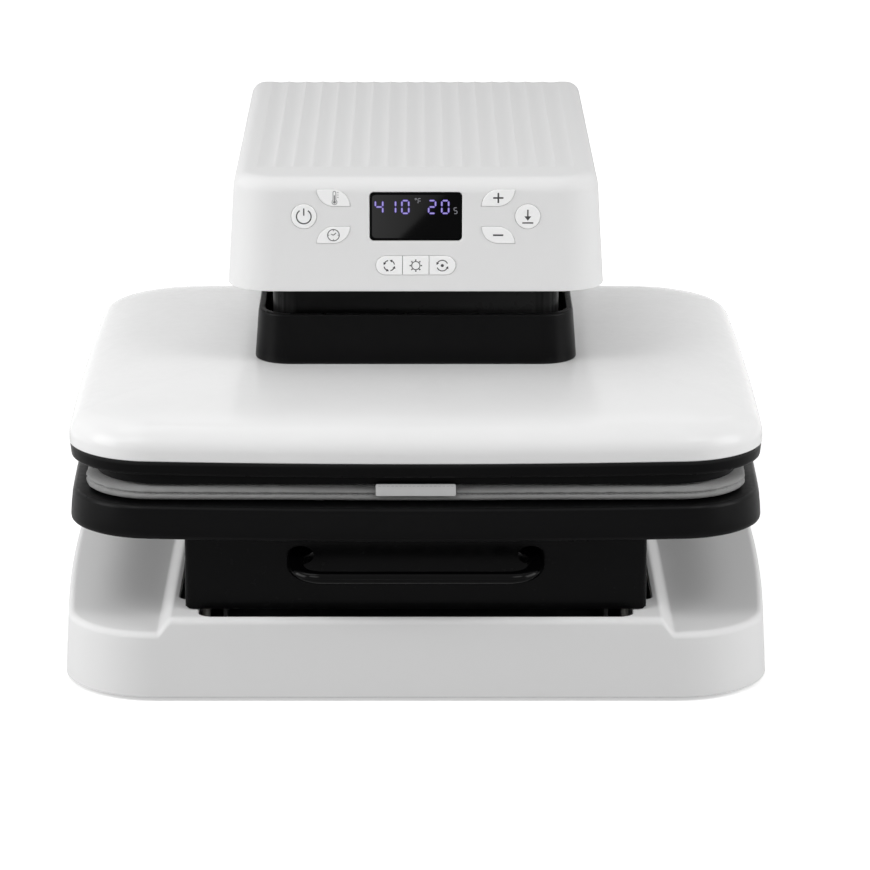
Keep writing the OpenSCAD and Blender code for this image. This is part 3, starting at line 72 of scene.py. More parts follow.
def add(nt, kind, ins=None, **props):
    """A node with its properties and inputs set; an input that is a socket is linked."""
    n = nt.nodes.new(kind)
    for k, v in props.items():
        setattr(n, k, v)
    for k, v in (ins or {}).items():
        if isinstance(v, bpy.types.NodeSocket):
            nt.links.new(v, n.inputs[k])
        else:
            n.inputs[k].default_value = v
    return n


def new_material(name):
    """A material, its tree, its output node and the object's own coordinates."""
    m = bpy.data.materials.new(name)
    m.use_nodes = True
    nt = m.node_tree
    nt.nodes.clear()
    out = nt.nodes.new("ShaderNodeOutputMaterial")
    return m, nt, out, add(nt, "ShaderNodeTexCoord").outputs["Object"]


def math_node(nt, op, *values):
    return add(nt, "ShaderNodeMath", dict(enumerate(values)), operation=op).outputs[0]


def weighted(nt, a, x, b, y):
    """a times x plus b times y."""
    return math_node(nt, "ADD", math_node(nt, "MULTIPLY", a, x), math_node(nt, "MULTIPLY", b, y))


def spread(nt, fac, lo, hi, a=0.0, b=1.0):
    """From lo to hi while fac runs from a to b."""
    return add(nt, "ShaderNodeMapRange", {"Value": fac, "From Min": a, "From Max": b,
                                          "To Min": lo, "To Max": hi}).outputs[0]


def blend(nt, fac, a, b, how="MIX"):
    mix = add(nt, "ShaderNodeMix", {"Factor": fac, "A": a, "B": b}, data_type="RGBA", blend_type=how)
    return mix.outputs["Result"]


def tint(nt, color, fac, down, up):
    """The colour times a factor that runs from down to up with fac."""
    k = spread(nt, fac, down, up, 0.25, 0.75)
    rgb = add(nt, "ShaderNodeCombineColor", {"Red": k, "Green": k, "Blue": k})
    return blend(nt, 1, (*color, 1), rgb.outputs[0], "MULTIPLY")


def noise(nt, co, scale, detail=3.0, rough=0.55, stretch=None):
    if stretch:
        co = add(nt, "ShaderNodeMapping", {"Vector": co, "Scale": stretch}).outputs[0]
    return add(nt, "ShaderNodeTexNoise", {"Vector": co, "Scale": scale, "Detail": detail,
                                          "Roughness": rough}).outputs["Fac"]


def edges(nt):
    """1 on worn outer edges, 0 elsewhere."""
    geo = add(nt, "ShaderNodeNewGeometry")
    return spread(nt, geo.outputs["Pointiness"], 0.0, 1.0, 0.52, 0.6)


def bumped(nt, shader, out, height, depth):
    """Put a height map, depth in microns, on the shader, and the shader on the output."""
    bump = add(nt, "ShaderNodeBump", {"Height": height, "Strength": 1.0, "Distance": depth * MICRON})
    nt.links.new(bump.outputs[0], shader.inputs["Normal"])
    nt.links.new(shader.outputs[0], out.inputs[0])


def surface(name, color, rough, spec=0.5, metal=0.0, coat=0.0, tone=0.02, grain=1400.0, depth=8,
            rough_var=0.05, wear=0.0, stretch=None, cloud=22.0):
    """Moulded, painted or metal finish: colour varies by tone, roughness by rough_var.

    cloud and grain are the scales of the large and the fine pattern, wear pales the outer edges.
    """
    m, nt, out, co = new_material(name)
    large = noise(nt, co, cloud, 2.0)
    mid = noise(nt, co, 160.0, 3.0, 0.6, stretch)
    fine = noise(nt, co, grain, 2.0, 0.5, stretch)
    base, worn = tint(nt, color, large, 1 - tone, 1 + tone), edges(nt)
    if wear:
        pale = (*(c + WORN_PALE * (1 - c) for c in color), 1)
        base = blend(nt, math_node(nt, "MULTIPLY", worn, wear), base, pale)
    r = spread(nt, mid, rough - rough_var, rough + rough_var, 0.3, 0.7)
    r = math_node(nt, "ADD", r, math_node(nt, "MULTIPLY", worn, -WORN_SMOOTH * rough))
    b = add(nt, "ShaderNodeBsdfPrincipled", {
        "Base Color": base, "Metallic": metal, "Roughness": math_node(nt, "MAXIMUM", r, LEAST_ROUGH),
        "Specular IOR Level": spec, "Coat Weight": coat, "Coat Roughness": COAT_ROUGH})
    bumped(nt, b, out, weighted(nt, fine, 0.7, mid, 0.3), depth)
    return m


def woven(name, color, pitch, depth, tone, sheen):
    """Cloth: two crossing sets of threads on every side, with fuzz and uneven dye."""
    m, nt, out, co = new_material(name)
    sway = noise(nt, co, 90.0, 2.0)
    xyz = add(nt, "ShaderNodeSeparateXYZ", {"Vector": co}).outputs
    side = math_node(nt, "ADD", xyz[1], math_node(nt, "MULTIPLY", xyz[2], 1.1))
    k = 2 * PI / (pitch * MM)
    u, v = (math_node(nt, "SINE", math_node(nt, "MULTIPLY_ADD", at, k, sway)) for at in (xyz[0], side))
    threads = math_node(nt, "MULTIPLY", u, v)
    hair = noise(nt, co, 2600.0, 3.0, 0.7)
    dye = noise(nt, co, 35.0, 3.0, 0.6)
    mixed = weighted(nt, dye, 0.6, spread(nt, threads, 0.0, 1.0, -1.0, 1.0), 0.4)
    b = add(nt, "ShaderNodeBsdfPrincipled", {
        "Base Color": tint(nt, color, mixed, 1 - tone, 1 + tone),
        "Roughness": spread(nt, hair, *CLOTH_ROUGH, 0.3, 0.7),
        "Specular IOR Level": 0.25, "Sheen Weight": sheen, "Sheen Roughness": 0.5})
    bumped(nt, b, out, weighted(nt, threads, 0.5, hair, 1.0), depth)
    return m


def printed_board(name):
    """Green board with its tracks standing out."""
    m, nt, out, co = new_material(name)
    cells = add(nt, "ShaderNodeTexVoronoi", {"Vector": co, "Scale": 260.0}, feature="DISTANCE_TO_EDGE",
                distance="CHEBYCHEV").outputs["Distance"]
    track = spread(nt, cells, 1.0, 0.0, 0.04, 0.10)
    green = tint(nt, (0.012, 0.085, 0.035), noise(nt, co, 60.0), 0.85, 1.15)
    b = add(nt, "ShaderNodeBsdfPrincipled", {
        "Base Color": blend(nt, track, green, (0.03, 0.16, 0.07, 1)),
        "Roughness": spread(nt, noise(nt, co, 700.0), 0.3, 0.45),
        "Specular IOR Level": 0.5, "Coat Weight": 0.3})
    bumped(nt, b, out, track, 40)
    return m


def glowing(name, color, strength, vary):
    m, nt, out, co = new_material(name)
    power = spread(nt, noise(nt, co, 900.0), strength * (1 - vary), strength * (1 + vary), 0.3, 0.7)
    e = add(nt, "ShaderNodeEmission", {"Color": tint(nt, color, noise(nt, co, 400.0), 0.94, 1.06),
                                       "Strength": power})
    nt.links.new(e.outputs[0], out.inputs[0])
    return m


# Name: colour, roughness, and what differs from the usual finish. The last five are not in the frame.
SURFACES = {
    "white_gloss": ((0.82, 0.82, 0.82), 0.24,
                    dict(spec=0.15, coat=0.12, tone=0.012, depth=3, rough_var=0.03)),
    "white_satin": ((0.81, 0.81, 0.81), 0.3, dict(tone=0.014, grain=2200, rough_var=0.04)),
    "black_satin": ((0.002, 0.002, 0.0022), 0.33,
                    dict(spec=0.06, tone=0.12, grain=1900, depth=12, wear=0.25)),
    "black_gloss": ((0.0008, 0.0008, 0.0009), 0.09, dict(spec=0.08, tone=0.1, depth=3, rough_var=0.02)),
    # black_sheet: black-painted steel sheet, made black so that the gaps where it shows read dark, so partly
    # painted shade
    "black_sheet": ((0.02, 0.02, 0.021), 0.5, dict(spec=0.4, tone=0.15, grain=900, depth=30, wear=0.4)),
    "frame_steel": ((0.36, 0.37, 0.385), 0.38,
                    dict(metal=0.9, tone=0.1, depth=20, wear=0.5, stretch=(1, 1, 6))),
    "zinc": ((0.62, 0.62, 0.6), 0.32, dict(metal=1.0, tone=0.1, grain=500, depth=10, wear=0.4, cloud=120)),
    "ground_steel": ((0.6, 0.6, 0.62), 0.16, dict(metal=1.0, tone=0.03, depth=4, stretch=(0.3, 0.3, 20))),
    "bronze": ((0.55, 0.34, 0.13), 0.3, dict(metal=1.0, tone=0.1, depth=10, wear=0.3)),
    "motor_grey": ((0.2, 0.205, 0.21), 0.4, dict(metal=0.6, tone=0.06, depth=10, wear=0.4)),
    # coated_aluminium: dark non-stick coat on the heated plate, darkened further to stand for the shade in
    # the recess under the rim, so partly painted shade
    "coated_aluminium": ((0.0025, 0.0025, 0.0027), 0.5, dict(spec=0.05, tone=0.15, grain=1200, depth=20)),
    "element_steel": ((0.16, 0.14, 0.125), 0.45, dict(metal=0.9, tone=0.25, depth=20, cloud=60)),
    "ceramic": ((0.78, 0.74, 0.64), 0.5, dict(tone=0.05, depth=20)),
    "rubber": ((0.014, 0.014, 0.014), 0.7, dict(spec=0.3, tone=0.15, grain=900, depth=40, wear=0.3)),
    "nylon": ((0.72, 0.71, 0.66), 0.4, dict(tone=0.04, depth=10, wear=0.2)),
    "module": ((0.022, 0.022, 0.024), 0.35, dict(tone=0.12, depth=10, wear=0.3)),
    "ink": ((0.02, 0.02, 0.021), 0.4, dict(tone=0.1, depth=4)),
    "ink_light": ((0.2, 0.2, 0.205), 0.4, dict(tone=0.06, depth=4)),
    "display_glass": ((0.0004, 0.0004, 0.0005), 0.03, dict(spec=0.03, tone=0.1, depth=0, rough_var=0.0)),
    "key_white": ((0.93, 0.93, 0.93), 0.3, dict(spec=0.3, tone=0.01, depth=3, rough_var=0.03)),
    "drawer_black": ((0.0022, 0.0022, 0.0024), 0.33, dict(spec=0.07, tone=0.12, grain=1900, depth=12)),
}
# Name: colour, pitch of the threads, depth in microns, variation of tone, sheen
CLOTHS = {
    "blanket": ((0.72, 0.69, 0.6), 1.9, 600, 0.14, 0.2),
    # pad_fabric: grey cloth, its grey darkened to stand for the shade under the rim, so partly painted shade
    "pad_fabric": ((0.3, 0.3, 0.298), 0.9, 220, 0.07, 0.35),
    "thread": ((0.4, 0.4, 0.4), 0.5, 100, 0.12, 0.35),
    "label_cloth": ((0.68, 0.68, 0.68), 0.45, 50, 0.02, 0.15),
}
# Name: colour, strength and its variation
GLOWS = {
    "lit_violet": ((0.20, 0.13, 0.62), 0.75, 0.08),
    "lit_core": ((0.50, 0.45, 0.86), 0.85, 0.06),
    "lit_grey": ((0.42, 0.42, 0.46), 0.6, 0.05),
}
mats = {name: surface(name, color, rough, **rest) for name, (color, rough, rest) in SURFACES.items()}
mats["board"] = printed_board("board")
mats.update({name: woven(name, *look) for name, look in CLOTHS.items()})
mats.update({name: glowing(name, *look) for name, look in GLOWS.items()})

for name, obj in nodes.items():
    for s in obj.material_slots:
        if s.material and s.material.name.split(".")[0] in mats:
            material_of[name] = s.material.name.split(".")[0]
            s.material = mats[material_of[name]]
for s in nodes["drawer_box"].material_slots:
    s.material = mats["drawer_black"]


# ---- mesh helpers

def outline(w, y0, y1, rf, rb, n=20, m=1):
    """Rounded rectangle seen from above, counter-clockwise from its right side at the back.

    rf and rb are the radii in front and behind; a corner has n steps and a straight m.
    """
    pts = []
    for c in range(4):
        r = rb if c < 2 else rf
        cx = (1 if c in (0, 3) else -1) * (w / 2 - r)
        cy = y1 - r if c < 2 else y0 + r
        a = (c + np.arange(n + 1) / n) * PI / 2
        pts.append(np.stack([cx + r * np.cos(a), cy + r * np.sin(a)], 1))
    out = []
    for c in range(4):
        out.append(pts[c])
        a, b = pts[c][-1], pts[(c + 1) % 4][0]
        out += [(a + (b - a) * i / m)[None] for i in range(1, m)]
    return np.concatenate(out)


def bowed(w, y0, y1, rf, rb, bow, n=24, m=12):
    """Outline whose straights bow outwards, with bow = sides, front, back.

    w is the width at the corners, y0 and y1 are the ends at the middle.
    """
    s0, s1 = y0 + bow[1], y1 - bow[2]
    p = outline(w, s0, s1, rf, rb, n, m)
    u, v = (2 * p[:, 1] - s0 - s1) / (s1 - s0), 2 * p[:, 0] / w
    ends = np.where(u < 0, bow[1], bow[2])
    return np.stack([p[:, 0] + np.sign(p[:, 0]) * bow[0] * (1 - u * u) * v * v,
                     p[:, 1] + np.sign(u) * ends * (1 - v * v) * u * u], 1)


def plain_outline(w, y0, y1, r):
    """Straight-sided outline with as many points as a bowed one."""
    return bowed(w, y0, y1, r, r, (0, 0, 0))


def rect(w, h, r, n=12):
    return outline(w, -h / 2, h / 2, r, r, n)


def flat(points, z):
    """Ring of an outline x, y at height z."""
    return np.column_stack([points, np.full(len(points), z)])


def upright(points, y):
    """Ring of a panel outline x, z at depth y."""
    return np.column_stack([points[:, 0], np.full(len(points), y), points[:, 1]])


def stack(ring, z, *steps):
    """Rings of one outline: each step is how far it is drawn in, and its height over z."""
    return [ring(t, z + h) for t, h in steps]


def skin(rings, loop=False, top=True):
    """Vertices and faces over rings of equal length, closed at both ends unless they make a loop."""
    n, m = len(rings[0]), len(rings)
    faces = []
    for i in range(m if loop else m - 1):
        k = (i + 1) % m
        for j in range(n):
            a, b = i * n + j, i * n + (j + 1) % n
            faces.append((a, b, k * n + (j + 1) % n, k * n + j))
    if not loop:
        faces.append(tuple(range(n))[::-1])
        if top:
            faces.append(tuple((m - 1) * n + j for j in range(n)))
    return np.concatenate(rings), faces


def join(*parts):
    """One list of vertices and faces from several, with a material index for each part."""
    verts, faces, index, base = [], [], [], 0
    for part in parts:
        v, f = part[0], part[1]
        verts.append(np.asarray(v, float))
        faces += [tuple(base + i for i in face) for face in f]
        index += [part[2] if len(part) > 2 else 0] * len(f)
        base += len(v)
    return np.concatenate(verts), faces, index


def mesh(name, verts, faces, index=None):
    me = bpy.data.meshes.new(name)
    me.from_pydata([tuple(p) for p in np.asarray(verts, float) * MM], [], faces)
    if index and any(index):
        me.polygons.foreach_set("material_index", index)
    me.update()
    obj = bpy.data.objects.new(name, me)
    scene.collection.objects.link(obj)
    bm = bmesh.new()
    bm.from_mesh(me)
    bmesh.ops.recalc_face_normals(bm, faces=bm.faces)
    bm.to_mesh(me)
    bm.free()
    return obj


def settle(obj):
    """Turn an object's modifiers into its mesh."""
    deps = bpy.context.evaluated_depsgraph_get()
    made = bpy.data.meshes.new_from_object(obj.evaluated_get(deps), preserve_all_data_layers=True,
                                           depsgraph=deps)
    obj.modifiers.clear()
    old = obj.data
    obj.data = made
    bpy.data.meshes.remove(old)


def carve(obj, cutter):
    mod = obj.modifiers.new("carve", "BOOLEAN")
    mod.operation, mod.solver, mod.object = "DIFFERENCE", "MANIFOLD", cutter
    settle(obj)
    bpy.data.objects.remove(cutter)


def merge(obj, other):
    """Add the other object's mesh, as it is, to the object's."""
    bm = bmesh.new()
    bm.from_mesh(obj.data)
    bm.from_mesh(other.data)
    bm.to_mesh(obj.data)
    bm.free()
    bpy.data.objects.remove(other)


def finish_piece(obj, looks, node=None, body=None, angle=32):
    """Materials, smoothing and place in the frame: a piece replaces a node, or names its body."""
    for look in looks:
        obj.data.materials.append(mats[look])
    obj.data.shade_smooth()
    obj.data.set_sharp_from_angle(angle=math.radians(angle))
    mod = obj.modifiers.new("normals", "WEIGHTED_NORMAL")
    mod.keep_sharp = True
    settle(obj)
    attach(obj, body or rides_on[node])
    if node:
        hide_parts(node)
    return obj


def prism(points, y0, y1):
    """A panel outline, x and z, from y0 back to y1."""
    return skin([upright(points, y0), upright(points, y1)])


def tube(path, radius, n=5):
    """Thread along a path that lies nearly level."""
    path = np.asarray(path, float)
    last = len(path) - 1
    a = 2 * PI * np.arange(n) / n
    rings, up = [], np.array([0, 0, 1.0])
    for i, p in enumerate(path):
        t = path[min(i + 1, last)] - path[max(i - 1, 0)]
        t = t / np.linalg.norm(t)
        side = np.cross(t, up)
        side /= np.linalg.norm(side)
        up = np.cross(side, t)
        rings.append(p + radius * (np.cos(a)[:, None] * side + np.sin(a)[:, None] * up))
    return skin(rings)


# ---- printed marks

MARK, OVER = 0.05, 0.01     # how thick a mark is, and how far it stands out over one that it crosses


def stroke(points, width, y, closed=False, thick=MARK):
    """Thin printed line on the panel through points (x, z), facing the front at y."""
    p = np.asarray(points, float)
    m = len(p)
    d = np.roll(p, -1, 0) - np.roll(p, 1, 0)
    if not closed:
        d[0], d[-1] = p[1] - p[0], p[-1] - p[-2]
    d /= np.linalg.norm(d, axis=1)[:, None]
    nrm = np.stack([-d[:, 1], d[:, 0]], 1) * width / 2
    corners = ((1, y), (-1, y), (-1, y + thick), (1, y + thick))
    verts = np.concatenate([upright(p + off * nrm, at) for off, at in corners])
    faces = []
    for i in range(m if closed else m - 1):
        j = (i + 1) % m
        for a in range(4):
            b = (a + 1) % 4
            faces.append((a * m + i, a * m + j, b * m + j, b * m + i))
    if not closed:
        faces += [(0, m, 2 * m, 3 * m), (m - 1, 4 * m - 1, 3 * m - 1, 2 * m - 1)]
    return verts, faces


def patch(points, y, thick=MARK):
    return prism(np.asarray(points, float), y, y + thick)


def arc(cx, cz, r, a0, a1, n=24):
    a = np.radians(np.linspace(a0, a1, n + 1))
    return np.stack([cx + r * np.cos(a), cz + r * np.sin(a)], 1)


def disc(cx, cz, r, n=28):
    return arc(cx, cz, r, 0, 360 - 360 / n, n - 1)


def spoke(turn, r0, r1):
    """Line from r0 to r1 at a part of a whole turn."""
    return np.outer((r0, r1), (math.cos(2 * PI * turn), math.sin(2 * PI * turn)))


def arrow_head(r, at, size=1.2):
    """Triangle on an arc round 0, 0, at so many degrees, pointing counter-clockwise."""
    a = math.radians(at)
    t, o = np.array([-math.sin(a), math.cos(a)]), np.array([math.cos(a), math.sin(a)])
    foot, half = r * o - t * size * 0.35, o * size * 0.75
    return np.array([r * o + t * size, foot + half, foot - half])


def icon(kind, x, z, y):
    """Parts of one icon round the point x, z."""
    def line(points, width, closed=False, over=0.0):
        return stroke(np.asarray(points, float) + (x, z), width, y - over, closed)

    def area(points, over=OVER):
        return patch(np.asarray(points, float) + (x, z), y - over)

    if kind == "power":
        return [line(arc(0, 0, 4.4, 125, 415), 0.75), line([(0, 0.6), (0, 5.0)], 0.75)]
    if kind == "thermometer":
        glass = np.concatenate([arc(0, 3.2, 0.85, 0, 180, 10), arc(0, -2.6, 1.5, 125, 415, 22)])
        return [line(glass, 0.4, True), area(disc(0, -2.6, 0.85)),
                line([(0, -2.2), (0, 1.6)], 0.7, over=OVER),
                *(line([(1.6, q), (2.5, q)], 0.35) for q in (0.4, 1.8, 3.2))]
    if kind == "clock":
        return [line(disc(0, 0, 3.5, 40), 0.5, True), line([(0, 0), (1.5, 1.4)], 0.5),
                line([(0, 0), (-1.5, 0.6)], 0.5), *(line(spoke(k / 4, 2.5, 3.2), 0.4) for k in range(4))]
    if kind == "plus":
        return icon("minus", x, z, y) + [line([(0, -3.1), (0, 3.1)], 1.0, over=OVER)]
    if kind == "minus":
        return [line([(-3.1, 0), (3.1, 0)], 1.0)]
    if kind == "press":
        return [line([(0, 4.2), (0, -0.4)], 0.85), area([(-2.1, 0.2), (0, -2.5), (2.1, 0.2)]),
                line([(-3.3, -3.9), (3.3, -3.9)], 0.85)]
    if kind == "sun":
        return [line(disc(0, 0, 2.5, 32), 0.55, True),
                *(line(spoke(k / 8, 2.9, 3.8), 0.8) for k in range(8))]
    parts = []
    if kind == "cycle":
        for a in range(0, 360, 90):
            parts += [line(arc(0, 0, 3.2, a + 12, a + 62, 10), 0.65), area(arrow_head(3.2, a + 66))]
    if kind == "auto":
        for a in range(0, 360, 180):
            parts += [line(arc(0, 0, 3.3, a + 22, a + 150, 16), 0.6), area(arrow_head(3.3, a + 154))]
        parts.append(area(disc(0, 0, 0.95), 0.0))
    return parts


# ---- sizes taken from the CAD frame

cover_lo, cover_hi = box("platen_shell")
rim_lo, rim_hi = box("platen_rim")
sleeve_lo, sleeve_hi = box("outer_sleeve")
tray_lo, tray_hi = box("lower_platen")
pad_lo, pad_hi = box("press_pad")
base_lo, base_hi = box("base_shell")
head_lo, head_hi = box("head_shell")
col_lo, col_hi = box("column_shell")
drawer_lo, drawer_hi = box("drawer_box")
handle_lo, handle_hi = box("drawer_handle")
glass_lo, glass_hi = box("display_window")
tab_lo, tab_hi = box("pad_tab")
WALL = 3.0
platen_y = (sleeve_lo[1] + sleeve_hi[1]) / 2

# ---- upper platen cover

COVER_BOW = 2.6, 10.0, 10.0
COVER_RF, COVER_RB, COVER_WALL = 47, 56, 2.5


def cover_outline(t, back_t=1.0):
    """The cover's outline drawn in by t, and at the back by back_t times that."""
    return bowed(2 * (cover_hi[0] - COVER_BOW[0] - t), cover_lo[1] + t, cover_hi[1] - back_t * t,
                 max(COVER_RF - t, 1), max(COVER_RB - t, 1), COVER_BOW)


def collar_outline(grow, r):
    """Outline that stands off from the moving collar by grow."""
    return plain_outline(2 * (sleeve_hi[0] + grow), sleeve_lo[1] - grow, sleeve_hi[1] + grow, r)


def cover_ring(t, z):
    return flat(cover_outline(t), z)


def cover_form(t):
    """Outer skin at t = 0, inner skin at t = COVER_WALL: lip, rounded edge, crown up to the collar."""
    z0, top = cover_lo[2], cover_hi[2] - t
    side, round_in, round_up, last = z0 + 5.4, 19.5, 15.6, math.radians(72)
    rings = [cover_ring(t, z0 - 1)] if t else stack(cover_ring, z0, (0.5, 0), (0.1, 0.35), (0, 0.9))
    for i in range(17):
        a, k = last * i / 16, i / 16
        rings.append(flat(cover_outline(t + round_in * (1 - math.cos(a)), 1 + 0.6 * k),
                          side + round_up * math.sin(a) - t * k))
    edge, foot = rings[-1], flat(collar_outline(3, 25), top)
    # The crown falls in one long curve from the collar, and more steeply close to the rounded edge
    long, steep, fade = 0.74, 0.26, 0.09
    for i in range(1, 29):
        u = (i / 28) ** 1.6
        drop = long * (1 - u) ** 2 + steep * (math.exp(-u / fade) - math.exp(-1 / fade))
        ring = edge + u * (foot - edge)
        ring[:, 2] = top - (top - edge[0, 2]) * drop
        rings.append(ring)
    return rings


mouth = collar_outline(-7, 16)
rings = cover_form(0) + [flat(mouth, cover_hi[2]), flat(mouth, cover_hi[2] - COVER_WALL)]
rings += cover_form(COVER_WALL)[::-1]
finish_piece(mesh("cover_moulding", *skin(rings, loop=True)), ["white_gloss"], "platen_shell")

# Rim under the cover, with the opening that the heated plate passes
OPENING, OPENING_R = 382.6, 41.8


def opening_ring(grow, z):
    half = OPENING / 2 + grow
    return flat(plain_outline(2 * half, platen_y - half, platen_y + half, OPENING_R + grow), z)


z0, z1 = rim_lo[2], rim_hi[2]
rings = stack(cover_ring, z0, (2.9, 0), (2.0, 0.25), (1.35, 0.9), (1.05, 2.0))
rings += stack(cover_ring, z1, (0.65, -2.9), (0.5, -2.3), (0.5, -0.3), (0.8, 0))
rings += [opening_ring(0, z1), opening_ring(0, z0 + 0.4), opening_ring(0.4, z0)]
finish_piece(mesh("rim_moulding", *skin(rings, loop=True)), ["black_satin"], "platen_rim")

# Moving half of the collar
SLEEVE_R = 22


def sleeve_ring(t, z):
    r = SLEEVE_R - t / 2
    return flat(outline(2 * (sleeve_hi[0] - t), sleeve_lo[1] + t, sleeve_hi[1] - t, r, r, 24), z)


z0, z1 = sleeve_lo[2], sleeve_hi[2]
rings = stack(sleeve_ring, z0, (0.6, 0), (0.15, 0.5), (0, 1.5), (0.55, 9), (1.4, 20))
rings += stack(sleeve_ring, z1, (2.05, -1.4), (2.2, -0.7), (2.6, -0.2), (3.1, 0), (5.6, 0), (6.0, -0.25),
               (6.2, -0.8))
rings += stack(sleeve_ring, z0, (4, 0))
finish_piece(mesh("collar_sleeve", *skin(rings, loop=True)), ["black_satin"], "outer_sleeve")

# ---- lower platen

TRAY_BOW = 3.8, 11.0, 10.0
TRAY_RF, TRAY_RB = 45, 54
RIB_STEP, RIB_HALF, RIB_LOW, RIB_HIGH = 60, 1.5, 16, 3.9


def tray_ring(t, z):
    return flat(bowed(2 * (tray_hi[0] - TRAY_BOW[0] - t), tray_lo[1] + t, tray_hi[1] - t,
                      TRAY_RF - t, TRAY_RB - t, TRAY_BOW), z)


z0, z1 = tray_lo[2], tray_hi[2]
rings = stack(tray_ring, z1, (6, -4))
rings += stack(tray_ring, z0, (6, 0.5), (3.4, 0), (1.6, 0.1), (0.8, 0.5), (0.25, 1.3), (0, 3), (0.35, 9))
rings += stack(tray_ring, z1, (1.25, -2.6), (1.5, -1.7), (2.0, -0.75), (2.7, -0.2), (3.5, 0), (12, 0))
ribs = []
for s in (-1, 1):
    xa, xb = sorted((s * (drawer_hi[0] + 0.6), s * (tray_hi[0] - 5)))
    for i in range(-2, 3):
        ya, yb = (platen_y + i * RIB_STEP + d for d in (-RIB_HALF, RIB_HALF))
        foot = [(xa, ya), (xb, ya), (xb, yb), (xa, yb)]
        ribs.append(skin([flat(foot, z1 - RIB_LOW), flat(foot, z1 - RIB_HIGH)]))
finish_piece(mesh("tray_moulding", *join(skin(rings), *ribs)), ["black_satin"], "lower_platen")

# ---- the pad

PAD_BOW, PAD_R = (1, 4, 4), 41.0
VOXEL, LAST_FRAME, MOST_SWELL = 0.0045, 20, 0.0012
# Gathers along the seam: height, how many round the pad, phase. They fade out above and below it
GATHERS, SEAM_FADE = ((0.28, 150, 0), (0.2, 97, 1.3), (0.12, 211, 0)), 2.6

pad_y = (pad_lo[1] + pad_hi[1]) / 2
seam_z = pad_lo[2] + (pad_hi[2] - pad_lo[2]) * 0.49
zt, zb = pad_hi[2], pad_lo[2]
# How far the outline is drawn in, and the height, from the middle of the underside to the middle of the top
PAD_PROFILE = (
    (60, zb), (14, zb), (4.6, zb + 0.05), (2.2, zb + 0.5), (1.0, zb + 1.4), (0.5, zb + 2.8),
    (0.8, seam_z - 1.2), (1.6, seam_z - 0.4), (2.1, seam_z), (1.6, seam_z + 0.4), (0.8, seam_z + 1.2),
    (0.4, zt - 3.6), (0.9, zt - 2.4), (2.1, zt - 1.4), (4.2, zt - 0.7), (8, zt - 0.25), (20, zt - 0.05),
    (60, zt - 0.02))


def pad_ring(t, z, n=44, m=190):
    r = max(PAD_R - t, 1)
    return flat(bowed(2 * (pad_hi[0] - PAD_BOW[0] - t), pad_lo[1] + t, pad_hi[1] - t, r, r, PAD_BOW, n, m), z)


def places(obj):
    return np.array([tuple(p.co) for p in obj.data.vertices])


def pad_swell(points):
    """How far a short cloth run, with the pad filled under pressure, moves the cover at these points."""
    form = mesh("pad_form", *skin([pad_ring(t, z, 24, 12) for t, z in PAD_PROFILE]))
    mod = form.modifiers.new("remesh", "REMESH")
    mod.mode, mod.voxel_size = "VOXEL", VOXEL
    settle(form)
    start = places(form)
    mod = form.modifiers.new("cloth", "CLOTH")
    mod.settings.quality = 4
    mod.settings.use_pressure = True
    mod.settings.uniform_pressure_force = 4
    mod.settings.effector_weights.gravity = 0
    mod.settings.tension_stiffness = 12
    mod.settings.compression_stiffness = 12
    mod.point_cache.frame_start, mod.point_cache.frame_end = 1, LAST_FRAME
    for frame_no in range(1, LAST_FRAME + 1):
        scene.frame_set(frame_no)
    settle(form)
    scene.frame_set(1)
    move = places(form) - start
    far = np.linalg.norm(move, axis=1, keepdims=True)
    move *= np.minimum(1, MOST_SWELL / np.maximum(far, 1e-9))
    tree = KDTree(len(start))
    for k, p in enumerate(start):
        tree.insert(p, k)
    tree.balance()
    bpy.data.objects.remove(form, do_unlink=True)
    out = np.empty((len(points), 3))
    for k, p in enumerate(points * MM):
        near = tree.find_n(p, 6)
        weight = np.array([1 / (d * d + 1e-7) for _, _, d in near])
        out[k] = (weight[:, None] * move[[i for _, i, _ in near]]).sum(0) / weight.sum()
    return out / MM


